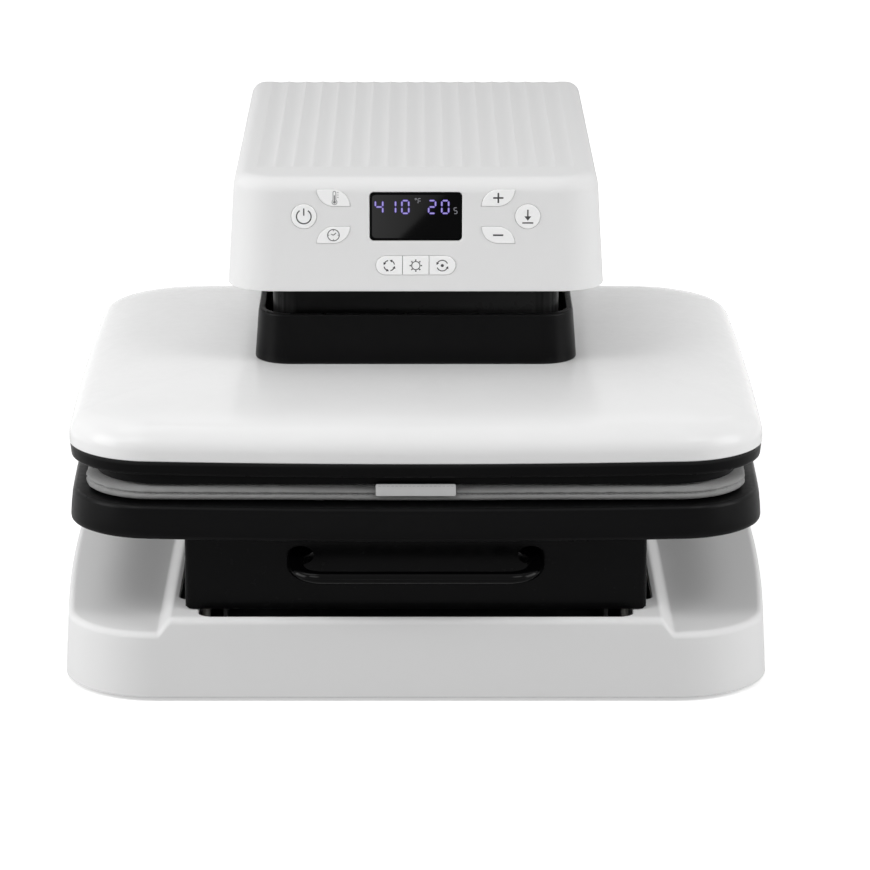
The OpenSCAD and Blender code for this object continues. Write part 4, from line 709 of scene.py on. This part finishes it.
def pad_piece():
    co, f = skin([pad_ring(t, z) for t, z in PAD_PROFILE])
    co += pad_swell(co)
    # Filled, the pad takes up its whole room between plate and tray, but 0.3 all round
    lo, hi = pad_lo + (0.3, 0.3, 0), pad_hi - (0.3, 0.3, 0)
    co = lo + (co - co.min(0)) / (co.max(0) - co.min(0)) * (hi - lo)
    # Sides stay within the sewn outline, and gather a little along the seam
    hx, hy = pad_hi[0] - PAD_BOW[0], (pad_hi[1] - pad_lo[1]) / 2 - PAD_BOW[1]
    q = np.stack([np.abs(co[:, 0]) - (hx - PAD_R), np.abs(co[:, 1] - pad_y) - (hy - PAD_R)], 1)
    u, v = np.clip((co[:, 1] - pad_y) / hy, -1, 1), np.clip(co[:, 0] / hx, -1, 1)
    bow = np.where(q[:, 1] > q[:, 0], PAD_BOW[1] * (1 - v * v), PAD_BOW[0] * (1 - u * u))
    out = np.linalg.norm(np.maximum(q, 0), axis=1) + np.minimum(q.max(axis=1), 0) - PAD_R - bow
    co[:, 2] = np.clip(co[:, 2], zb, zt)
    around = np.arctan2(co[:, 1] - pad_y, co[:, 0])
    gather = sum(high * np.sin(around * many + phase) for high, many, phase in GATHERS)
    fade = np.exp(-((co[:, 2] - seam_z) / SEAM_FADE) ** 2) * (out > -9)
    over = np.maximum(out + 0.25, 0) + (gather + 0.3) * fade
    lead = np.maximum(q, 0)
    lead[(q[:, 0] <= 0) & (q[:, 1] > q[:, 0])] = (0, 1)
    lead[(q[:, 1] <= 0) & (q[:, 0] >= q[:, 1])] = (1, 0)
    lead /= np.maximum(np.linalg.norm(lead, axis=1, keepdims=True), 1e-6)
    co[:, 0] -= np.sign(co[:, 0]) * lead[:, 0] * over
    co[:, 1] -= np.sign(co[:, 1] - pad_y) * lead[:, 1] * over
    return mesh("press_pad_cover", co, f)


pad = finish_piece(pad_piece(), ["pad_fabric"], "press_pad", angle=180)

# Stitches along the seam: their pitch, the part of it that shows, and the thread's radius
STITCH, SHOWN, THREAD_R = 3.2, (0.15, 0.85), 0.2
path = bowed(pad_hi[0] * 2 - 5.0, pad_lo[1] + 1.5, pad_hi[1] - 1.5, PAD_R - 1.5, PAD_R - 1.5, PAD_BOW,
             60, 90)
path = np.vstack([path, path[:1]])
length = np.concatenate([[0], np.cumsum(np.linalg.norm(np.diff(path, axis=0), axis=1))])
count = int(length[-1] / STITCH)
stitches = []
for i in range(count):
    s0, s1 = ((i + k) * length[-1] / count for k in SHOWN)
    pts = []
    for u in np.linspace(0, 1, 5):
        s = s0 + u * (s1 - s0)
        p = np.array([np.interp(s, length, path[:, 0]), np.interp(s, length, path[:, 1])])
        d = p - (0.0, pad_y)
        d /= np.linalg.norm(d)
        pts.append((*(p + d * (0.35 * math.sin(PI * u) - 0.25)), seam_z + 0.1 * math.cos(PI * u)))
    stitches.append(tube(pts, THREAD_R))
finish_piece(mesh("pad_stitches", *join(*stitches)), ["thread"], body="drawer", angle=60)

# Cloth tab: a front and a back of uneven cloth with rounded corners, closed all round, and its stitches
NX, NZ, TAB_R, HEM, HEM_R = 49, 15, 0.9, 18, 0.12
tw, th = tab_hi[0] * 2, tab_hi[2] - tab_lo[2]
front, back = [], []
for u in np.arange(NZ) / (NZ - 1):
    z = tab_lo[2] + th * u
    for x in np.linspace(-tw / 2, tw / 2, NX):
        b = 0.14 * math.sin(PI * u) + 0.06 * math.sin(x * 0.35 + 2 * u)
        front.append((x, tab_lo[1] + 0.16 - b * 0.8, z))
        back.append((x, tab_hi[1] - 0.05 - b * 0.3, z))
sheets = np.array(front), np.array(back)
for sheet in sheets:
    for s in (-1, 1):
        for zc, sz in ((tab_lo[2], -1), (tab_hi[2], 1)):
            mid = s * (tw / 2 - TAB_R), zc - sz * TAB_R
            m = (s * (sheet[:, 0] - mid[0]) > 0) & (sz * (sheet[:, 2] - mid[1]) > 0)
            d = sheet[m][:, [0, 2]] - mid
            k = np.maximum(np.abs(d).max(axis=1), 1e-9) / np.maximum(np.linalg.norm(d, axis=1), 1e-9)
            sheet[m, 0] = mid[0] + d[:, 0] * k
            sheet[m, 2] = mid[1] + d[:, 1] * k
grid = np.arange(NX * NZ).reshape(NZ, NX)
fs = [(a, a + 1, a + NX + 1, a + NX) for k in (0, NX * NZ) for a in (grid[:-1, :-1] + k).ravel().tolist()]
border = np.concatenate([grid[0], grid[1:, -1], grid[-1, -2::-1], grid[-2:0:-1, 0]]).tolist()
fs += [(a, b, b + NX * NZ, a + NX * NZ) for a, b in zip(border, border[1:] + border[:1])]
hem = []
for i in range(HEM):
    x0, z = -tw / 2 + 1.6 + i * (tw - 3.2) / (HEM - 0.5), tab_hi[2] - 1.1
    pts = [(x0 + dx, tab_lo[1] + dy, z) for dx, dy in ((0, 0.1), (0.8, 0.02), (1.5, 0.1))]
    hem.append((*tube(pts, HEM_R), 1))
finish_piece(mesh("pad_label", *join((np.vstack(sheets), fs), *hem)), ["label_cloth", "thread"], "pad_tab",
             angle=50)

# ---- base shell

foot_z, deck_z, step_top = base_lo[2], 42.0, base_hi[2]
step_hw, step_h = 144.0, step_top - deck_z
FLARE, DECK_R, STEP_R, BASE_BOW, BASE_RF, BASE_RB = 1.7, 4.0, 4.5, 11.0, 51, 24
BOSS_X, BOSS_R, BOSS_HOLE_R = 178.5, 5.0, 1.6


def ease(t):
    t = np.clip(t, 0, 1)
    return t * t * (3 - 2 * t)


def top_at(x, t=0.0):
    """Height of the base's top over x: side decks, slope, raised middle, with soft bends."""
    return deck_z - t + step_h * ease((step_hw + step_h - np.abs(x)) / (step_h + 0.4))


def base_form(t, n=22, m=14):
    """The base's outside at t = 0, or the hollow in it a wall of t further in."""
    w, y0, y1 = base_hi[0] * 2 - 2 * BASE_BOW, base_lo[1], base_hi[1]
    # Places across the top, close together over the bends and the slope
    side = np.concatenate([np.linspace(60, 141, 8), np.linspace(142, 153.4, 24), [154.6]])
    xs = np.concatenate([-side[::-1], [0], side])

    def ring(e, rf, rb):
        """Base outline drawn in by e, with the same x places along its front and back."""
        s1 = y1 - max(e - FLARE, t)
        c = outline(w - 2 * e, y0 + e, s1, rf, rb, n).reshape(4, n + 1, 2)
        k = (np.arange(1, m) / m)[:, None]
        left, right = c[1][-1] + (c[2][0] - c[1][-1]) * k, c[3][-1] + (c[0][0] - c[3][-1]) * k
        p = np.concatenate([c[0], np.column_stack([xs[::-1], np.full(len(xs), s1)]), c[1], left, c[2],
                            np.column_stack([xs, np.full(len(xs), y0 + e)]), c[3], right])
        u, v = (2 * p[:, 1] - y0 - e - s1) / (s1 - y0 - e), 2 * p[:, 0] / (w - 2 * e)
        p[:, 0] += np.sign(p[:, 0]) * BASE_BOW * (1 - u * u) * v * v
        return p

    def at(e):
        return ring(t + e, BASE_RF - t - e, BASE_RB - t - e)

    z_low = foot_z - 2 if t else foot_z
    foot = at(0)
    rings = [flat(foot, z_low)]
    if not t:
        rings = [flat(at(0.7), z_low), flat(at(0.2), z_low + 0.25), flat(foot, z_low + 0.8)]
    lean = (at(FLARE) - foot) / FLARE
    crest = top_at(foot[:, 0], t)
    r = DECK_R + (STEP_R - DECK_R) * (crest - deck_z + t) / step_h
    for i in range(1, 7):
        z = z_low + 1 + (crest - r - z_low - 1) * i / 6
        e = FLARE * (z - foot_z) / (deck_z - DECK_R - foot_z)
        rings.append(np.column_stack([foot + lean * e[:, None], z]))
    last = rings[-1].copy()
    inward = (at(FLARE + DECK_R) - at(FLARE)) / DECK_R
    for i in range(1, 10):
        a = PI / 2 * min(i, 8) / 8
        pts = last[:, :2] + inward * (r * (1 - math.cos(a)) + max(i - 8, 0))[:, None]
        z = last[:, 2] + r * math.sin(a) if i < 9 else top_at(pts[:, 0], t)
        rings.append(np.column_stack([pts, z]))
    verts, faces = skin(rings, top=False)
    # The top: ruled strips from front to back over the middle, one flat face on each side deck
    off, k = (len(rings) - 1) * len(foot), len(xs)
    back0, front0 = n + 1, 3 * (n + 1) + k + m - 1
    for i in range(k - 1):
        a, c = front0 + i, back0 + k - 2 - i
        faces.append((off + a, off + a + 1, off + c, off + c + 1))
    right = [*range(front0 + k - 1, len(foot)), *range(back0 + 1)]
    left = range(back0 + k - 1, front0 + 1)
    faces += [tuple(off + i for i in right), tuple(off + i for i in left)]
    return verts, faces


def well(w, y0, y1, rf, rb, edge):
    """Cutter for an opening in the top, with a rounded upper edge."""
    def ring(g, z):
        return flat(outline(w + 2 * g, y0 - g, y1 + g, rf + g, rb + g, 12), z)

    rings = [ring(0, foot_z - 6)]
    for i in range(6):
        a = PI / 2 * i / 5
        rings.append(ring(edge * (1 - math.cos(a)), step_top - edge + edge * math.sin(a)))
    return mesh("well", *skin(rings + [ring(edge, step_top + 6)]))


base = mesh("base_moulding", *base_form(0))
carve(base, mesh("hollow", *base_form(WALL)))
# Openings for the drawer, for the recess on both sides of it, and for the column
carve(base, well(257, base_lo[1] + 6.2, col_lo[1] - 14, 9, 4, 0.9))
carve(base, well(2 * step_hw - 6, drawer_lo[1] + 21, col_lo[1] - 14, 6, 4, 0.9))
carve(base, well(col_hi[0] * 2 - 8, col_lo[1] + 4, base_hi[1] - 7, 4, 4, 0.3))
bosses = []
for s in (-1, 1):
    for y in (base_lo[1] + 56, platen_y - 40, platen_y + 84, base_hi[1] - 60):
        c, d = (disc(s * BOSS_X, y, r, 24) for r in (BOSS_R, BOSS_HOLE_R))
        bosses.append(skin([flat(p, z) for p, z in ((c, foot_z + 3), (c, deck_z - 2.5), (d, deck_z - 2.5),
                                                    (d, foot_z + 3))], loop=True))
merge(base, mesh("bosses", *join(*bosses)))
finish_piece(base, ["white_gloss"], "base_shell", angle=28)

# ---- the head

head_w = head_hi[0] * 2
head_front, head_back = head_lo[1], head_hi[1]
head_z, head_top = head_lo[2], head_hi[2]
LEAN, DRAFT, HEAD_RF, HEAD_RB, FILLET, INNER_FILLET = 0.8, 3.6, 28, 10, 9.0, 3.5


def head_form(t, n=20):
    """The head's outside at t = 0, or the hollow in it a wall of t further in."""
    fillet = INNER_FILLET if t else FILLET
    zt = head_top - t
    zf = zt - fillet

    def ring(z, inset, w_in, y_in):
        return flat(outline(head_w - 2 * w_in - 2 * inset, head_front + y_in + inset, head_back - inset,
                            max(HEAD_RF - inset, 2), max(HEAD_RB - inset, 2), n, 3), z)

    rings = [ring(head_z - 1, t, 0, 0)]
    if not t:
        rings = [ring(head_z, 0.6, 0, 0), ring(head_z + 0.2, 0.2, 0, 0), ring(head_z + 0.7, 0, 0.03, 0.01)]
    for i in range(1, 6):
        u = i / 6
        rings.append(ring(head_z + (zf - head_z) * u, t, DRAFT * u, LEAN * u))
    for i in range(13):
        a = PI / 2 * i / 12
        rings.append(ring(zf + fillet * math.sin(a), t + fillet * (1 - math.cos(a)), DRAFT, LEAN))
    rings.append(ring(zt, t + fillet + 1.5, DRAFT, LEAN))
    return skin(rings)


head = mesh("head_moulding", *head_form(0))
carve(head, mesh("hollow", *head_form(WALL)))
# Flutes: concave hollows that meet in soft ribs and run out behind the front border
PITCH, FLUTES, DEEP, BORDER = 11.4, 17, 1.15, 38
xs = np.linspace(-FLUTES * PITCH / 2, FLUTES * PITCH / 2, FLUTES * 14 + 1)
ph = np.abs(((xs / PITCH + FLUTES / 2) % 1.0) - 0.5) * 2
prof = DEEP * (1 - ph ** 2)
prof[0] = prof[-1] = 0
start = head_front + BORDER
sections = []
for y, k in ((start, 0.0), (start + 0.6, 0.3), (start + 1.4, 0.6), (start + 2.6, 0.87), (start + 4.0, 1.0),
             (head_back + 8, 1.0)):
    low = np.column_stack([xs, np.full(len(xs), y), head_top + 0.02 - prof * k - 0.0005])
    sections.append(np.vstack([low, [(xs[-1], y, head_top + 3), (xs[0], y, head_top + 3)]]))
carve(head, mesh("flutes", *skin(sections)))

# Openings of the panel. GAP is the room round a key, and there is twice as much between two keys of the row
display_z = head_z + 46.0
panel_z = display_z + 0.2
preset_z = head_z + 16.1
GAP, KEY_OPENING, WINDOW_GAP = 0.15, 0.3, 0.2
ROUND_X, ROUND_R = 67.4, 7.55
LEAF_X, LEAF_Z, LEAF_W, LEAF_H = 49.6, 11.4, 20, 10.4
ROW_X, ROW_R, PRESET_HALF, PRESET_STEP = 18.2, 5.8, 8, 16.0


def panel_at(z):
    """Depth of the leaning front at height z."""
    return head_front + LEAN * (z - head_z) / (head_top - FILLET - head_z)


def leaf_points(w, h, n=18):
    """Leaf round 0, 0: pointed at its upper right and lower left, rounded at the other two corners."""
    a, b = np.linspace(PI / 2, PI, n), np.linspace(1.5 * PI, 2 * PI, n)
    ul = np.stack([-w / 2 + h + h * np.cos(a), -h / 2 + h * np.sin(a)], 1)
    lr = np.stack([w / 2 - h + h * np.cos(b), h / 2 + h * np.sin(b)], 1)
    return np.concatenate([ul, lr])


def mark_shape(kind, grow=0.0):
    """Outline x, z of a key, or of the opening for the row of three, larger by grow all round."""
    if kind[0] == "leaf":
        sx, sz = kind[1:]
        p = leaf_points(LEAF_W + 2 * grow, LEAF_H + 2 * grow)
        if sx * sz < 0:
            p = (p * (-1, 1))[::-1]
        return p + (sx * LEAF_X, panel_z + sz * LEAF_Z)
    if kind[0] == "round":
        return disc(kind[1] * ROUND_X, panel_z, ROUND_R + grow, 48)
    if kind[0] == "slot":
        r = ROW_R + grow
        return np.concatenate([arc(s * ROW_X, preset_z, r, a, a + 180, 20) for s, a in ((1, -90), (-1, 90))])
    low, high = preset_z - ROW_R, preset_z + ROW_R
    if kind[1] == 0:
        x = PRESET_HALF - GAP
        return np.array([(-x, low), (x, low), (x, high), (-x, high)])
    x = PRESET_HALF + GAP
    p = np.concatenate([arc(ROW_X, preset_z, ROW_R, -90, 90, 24), [(x, high), (x, low)]])
    return p if kind[1] > 0 else (p * (-1, 1))[::-1]


def shrink(p, t):
    """Outline drawn in by t all round, near enough for small t."""
    c = (p.max(0) + p.min(0)) / 2
    half = (p.max(0) - p.min(0)) / 2
    return c + (p - c) * (half - t) / half


def opening_cutter(points, edge):
    """Cutter for an opening in the panel, with a rounded front edge."""
    rings = [upright(shrink(points, -edge), head_front - 4)]
    for k in range(6):
        a = PI / 2 * k / 5
        q = shrink(points, -edge * (1 - math.sin(a)))
        rings.append(upright(q, panel_at(q[:, 1]) + edge * (1 - math.cos(a))))
    return mesh("opening", *skin(rings + [upright(points, head_front + 8)]))


def capped(shape, back, face, steps):
    """A cap from back to its face, with steps of its edge as depth behind the face and way in."""
    return skin([upright(shrink(shape, t), y) for y, t in [(back, 0)] + [(face + d, t) for d, t in steps]])


WINDOW_FLANGE, WINDOW_H, WINDOW_R = 2.5, 29.4, 2.4
window_w = 2 * (glass_hi[0] - WINDOW_FLANGE)
window = rect(window_w + 2 * WINDOW_GAP, WINDOW_H + 2 * WINDOW_GAP, WINDOW_R + WINDOW_GAP, 10)
carve(head, opening_cutter(window + (0, display_z), 0.9))
for kind in [("leaf", a, b) for a in (-1, 1) for b in (-1, 1)] + [("round", -1), ("round", 1), ("slot",)]:
    carve(head, opening_cutter(mark_shape(kind, GAP), KEY_OPENING))
finish_piece(head, ["white_satin"], "head_shell", angle=24)

# ---- the keys

# Node: shape, sign, and how far the sign is moved to the right
KEYS = {
    "power_button": (("round", -1), "power", 0), "start_button": (("round", 1), "press", 0),
    "temperature_button": (("leaf", -1, 1), "thermometer", 0.7),
    "time_button": (("leaf", -1, -1), "clock", 0),
    "plus_button": (("leaf", 1, 1), "plus", 0), "minus_button": (("leaf", 1, -1), "minus", 0),
    "preset_cycle_button": (("preset", -1), "cycle", 0), "preset_heat_button": (("preset", 0), "sun", 0),
    "preset_auto_button": (("preset", 1), "auto", 0),
}
KEY_EDGE = (0.45, 0), (0.3, 0.03), (0.14, 0.13), (0.04, 0.3), (0, 0.5), (0, 1.4)
FLANGE, FLANGE_OUT, STEM_R, SIGN_OUT = 1.2, 0.7, 2.0, 0.025
flange_y = head_front + LEAN + WALL + 0.3
for name, (kind, sign, right) in KEYS.items():
    lo, hi = box(name)
    shape = mark_shape(kind)
    c = (shape.max(0) + shape.min(0)) / 2
    if kind[0] == "preset":
        c = np.array([kind[1] * PRESET_STEP, preset_z])
    parts = [capped(shape, flange_y + FLANGE, lo[1], KEY_EDGE),
             prism(disc(c[0], c[1], STEM_R, 20), flange_y + FLANGE - 0.1, hi[1])]
    if kind[0] != "preset":
        parts.append(prism(shrink(shape, -FLANGE_OUT), flange_y, flange_y + FLANGE))
    marks = [(*p, 1) for p in icon(sign, c[0] + right, c[1], lo[1] - SIGN_OUT)]
    looks = ["key_white", "ink_light" if sign == "thermometer" else "ink"]
    finish_piece(mesh(name + "_cap", *join(*parts, *marks)), looks, name, angle=40)

# ---- display window

GLASS_EDGE = (0.35, 0), (0.2, 0.04), (0.08, 0.14), (0, 0.35), (0, 1.5)
glass_y, glass_back = glass_lo[1], glass_hi[1] - 1
pane = capped(rect(window_w, WINDOW_H, WINDOW_R, 12) + (0, display_z), glass_back, glass_y, GLASS_EDGE)
rim = prism(rect(window_w + 2 * WINDOW_FLANGE, WINDOW_H + 3, 2, 8) + (0, display_z), glass_back, glass_hi[1])
finish_piece(mesh("display_glass", *join(pane, rim)), ["display_glass"], "display_window", angle=40)

SEGMENTS = {"0": "abcdef", "1": "bc", "2": "abged", "4": "fgbc", "s": "afgcd", "F": "aefg"}
LIFT = 0.02     # how far the figures stand out from the glass, and how thick they are


def digit(char, x, z, w, h, t, y, scale=1.0):
    """Seven-segment figure with its middle at x, z; a scale under 1 gives its core."""
    a, b = w / 2, h / 2
    ends = {"a": ((-a, b), (a, b)), "g": ((-a, 0), (a, 0)), "d": ((-a, -b), (a, -b)),
            "f": ((-a, b), (-a, 0)), "b": ((a, b), (a, 0)),
            "e": ((-a, 0), (-a, -b)), "c": ((a, 0), (a, -b))}
    out = []
    for s in SEGMENTS[char]:
        p, q = np.array(ends[s][0]), np.array(ends[s][1])
        d = (q - p) / np.linalg.norm(q - p)
        n = np.array([-d[1], d[0]]) * t * scale / 2
        p, q = p + d * t * 0.18 + (x, z), q - d * t * 0.18 + (x, z)
        p, q = p + d * (1 - scale) * t * 0.5, q - d * (1 - scale) * t * 0.5
        m = t * scale / 2
        out.append(patch([p, p + d * m + n, q - d * m + n, q, q - d * m - n, p + d * m - n], y, LIFT))
    return out


# Figures: sign, middle and width, in millimetres from the middle of the display
FIGURES = (("4", -22.1, 4.4), ("1", -15.4, 6.4), ("0", -6.3, 4.1), ("2", 9.8, 4.1), ("0", 17.7, 4.1))
FIGURE_H, FIGURE_Z, BAR, THIN_BAR, CORE = 7.8, 5.9, 1.25, 0.42, 0.5
# Small signs: sign, x, z, width and height
SMALL = (("F", 2.2, 9.55, 1.7, 3.0), ("s", 23.9, 3.6, 1.8, 3.6))
DEGREE_Z, DEGREE_R, DEGREE_BAR = 10.75, 0.5, 0.3
fig = []
for char, x, w in FIGURES:
    for look, y, scale in ((0, glass_y - LIFT, 1.0), (1, glass_y - 1.75 * LIFT, CORE)):
        fig += [(*p, look) for p in digit(char, x, display_z + FIGURE_Z, w, FIGURE_H, BAR, y, scale)]
degree = disc(0, display_z + DEGREE_Z, DEGREE_R, 12)
fig.append((*stroke(degree, DEGREE_BAR, glass_y - LIFT, True, LIFT), 2))
for char, x, z, w, h in SMALL:
    fig += [(*p, 2) for p in digit(char, x, display_z + z, w, h, THIN_BAR, glass_y - LIFT)]
finish_piece(mesh("display_figures", *join(*fig)), ["lit_violet", "lit_core", "lit_grey"], body="chassis",
             angle=60)

# ---- the handle

# Half depth and half height of the bar, radius of its bends, how much it widens at its feet, and its rise
BAR_Y, BAR_Z, BEND, WIDEN, RISE = 4.9, 3.6, 18.0, 1.6, 5.4
bar_y, bar_z = handle_lo[1] + BAR_Y, handle_lo[2] + BAR_Z
reach = drawer_lo[1] - bar_y
bar_x = handle_hi[0] - BAR_Y
centre = [(bar_x, BEND + (reach - BEND) * (1 - i / 12), 0.0) for i in range(12)]
centre += [(bar_x - BEND + BEND * math.cos(a), BEND - BEND * math.sin(a), a)
           for a in np.linspace(0, PI / 2, 20)]
centre += [(bar_x - BEND - (bar_x - BEND) * i / 5, 0.0, PI / 2) for i in range(1, 6)]
centre += [(-x, y, PI - a) for x, y, a in centre[-2::-1]]
k = 2 * PI * np.arange(32) / 32
rings = []
for x, y, a in centre:
    g = 1 + (WIDEN - 1) * (max(y - BEND, 0) / (reach - BEND)) ** 2
    u, w = BAR_Y * g * np.cos(k), BAR_Z * g * np.sin(k)
    inward = BAR_Y * (g - 1) * (1 if x > 0 else -1)
    rings.append(np.column_stack([x - inward + u * math.cos(a), bar_y + y - u * math.sin(a),
                                  bar_z + RISE * (0.9 * ease(y / reach) + 0.1 * y / reach) + w]))
finish_piece(mesh("handle_bar", *skin(rings)), ["black_gloss"], "drawer_handle", angle=50)

# ---- camera and light

PICTURE, MIDDLE_OFF = 870, 19.2
cam = bpy.data.cameras.new("camera")
cam.lens, cam.sensor_width, cam.clip_end = 173.8, 36.0, 60
cam.shift_x = MIDDLE_OFF / PICTURE
camera = bpy.data.objects.new("camera", cam)
camera.location = (0.0, -2.578, 0.7944)
camera.rotation_euler = (math.radians(75), 0, 0)
scene.collection.objects.link(camera)
scene.camera = camera

# Place, aim, size in metres and radiance
AIM, HIGH_AIM = (0, 0, 0.12), (0, -0.05, 0.12)
LAMPS = {
    "side_left": ((-1.75, -0.6, 0.75), AIM, (1.0, 1.1), 5.7),
    "side_right": ((1.75, -0.6, 0.75), AIM, (1.0, 1.1), 5.2),
    "key_left": ((-0.9, -1.15, 1.6), AIM, (0.7, 0.7), 4.9),
    "key_right": ((0.9, -1.15, 1.6), AIM, (0.7, 0.7), 4.5),
    "overhead": ((-0.7, 0.25, 1.9), HIGH_AIM, (1.3, 0.7), 2.1),
    "rear": ((0, 1.35, 1.4), HIGH_AIM, (1.9, 0.5), 0.6),
}
for name, (at, aim, size, radiance) in LAMPS.items():
    data = bpy.data.lights.new(name, "AREA")
    data.shape = "RECTANGLE"
    data.size, data.size_y = size
    data.energy = radiance * PI * size[0] * size[1]
    obj = bpy.data.objects.new(name, data)
    obj.location = at
    obj.rotation_euler = (Vector(aim) - Vector(at)).to_track_quat("-Z", "Y").to_euler()
    scene.collection.objects.link(obj)

SKY_LIT, SKY_SEEN = 0.2, 1.0
FLOOR_LIT, FLOOR_SEEN, FLOOR_NEAR, FLOOR_FADE, FLOOR_HALF = 0.52, 0.9, 0.52, (0.5, 1.6), 9000
CARD_STRENGTH, CARD_FADE = (15.0, 5.0), (-0.045, 0.029)


def ray_kinds(nt):
    """1 for rays from the camera, and 1 for those that see a thing, in a reflection too."""
    rays = add(nt, "ShaderNodeLightPath").outputs
    seen = math_node(nt, "MAXIMUM", rays["Is Camera Ray"], rays["Is Glossy Ray"])
    return rays["Is Camera Ray"], math_node(nt, "MAXIMUM", seen, rays["Is Transmission Ray"])


world = bpy.data.worlds.new("studio")
scene.world = world
world.use_nodes = True
nt = world.node_tree
nt.nodes.clear()
power = spread(nt, ray_kinds(nt)[1], SKY_LIT, SKY_SEEN)
sky = add(nt, "ShaderNodeBackground", {"Color": (1, 1, 1, 1), "Strength": power})
nt.links.new(sky.outputs[0], add(nt, "ShaderNodeOutputWorld").inputs[0])

# Floor: pale, and white to the camera further off, with the object's shadow kept near it
m, nt, out, co = new_material("floor")
direct, seen = ray_kinds(nt)
away = add(nt, "ShaderNodeVectorMath", {0: co}, operation="LENGTH").outputs["Value"]
grey = spread(nt, seen, FLOOR_LIT, FLOOR_SEEN)
grey = math_node(nt, "MULTIPLY", grey, spread(nt, noise(nt, co, 3.0), 0.99, 1.01))
rgb = add(nt, "ShaderNodeCombineColor", {"Red": grey, "Green": grey, "Blue": grey})
d = add(nt, "ShaderNodeBsdfDiffuse", {"Color": rgb.outputs[0]})
near = math_node(nt, "MULTIPLY", direct, spread(nt, away, FLOOR_NEAR, 0.0, *FLOOR_FADE))
far = math_node(nt, "MULTIPLY", seen, spread(nt, away, 0.0, 1.0, *FLOOR_FADE))
e = add(nt, "ShaderNodeEmission", {"Color": (1, 1, 1, 1), "Strength": math_node(nt, "ADD", near, far)})
s = add(nt, "ShaderNodeAddShader", {0: d.outputs[0], 1: e.outputs[0]})
nt.links.new(s.outputs[0], out.inputs[0])
corners = [(x * FLOOR_HALF, y * FLOOR_HALF, 0) for x, y in ((-1, -1), (1, -1), (1, 1), (-1, 1))]
fl = mesh("floor", corners, [(0, 1, 2, 3)])
fl.data.materials.append(m)

# Card in front of the object, outside the picture, that puts the slanted sheen on the display
m, nt, out, co = new_material("card")
x = add(nt, "ShaderNodeSeparateXYZ", {"Vector": co}).outputs[0]
power = spread(nt, x, *CARD_STRENGTH, *CARD_FADE)
e = add(nt, "ShaderNodeEmission", {"Color": (1, 1, 1, 1), "Strength": power})
nt.links.new(e.outputs[0], out.inputs[0])
card = mesh("card", [(-60, -1500, 1), (36, -1500, 1), (-17, -1250, 1), (-60, -1250, 1)], [(0, 1, 2, 3)])
card.data.materials.append(m)

scene.view_settings.view_transform = "Standard"
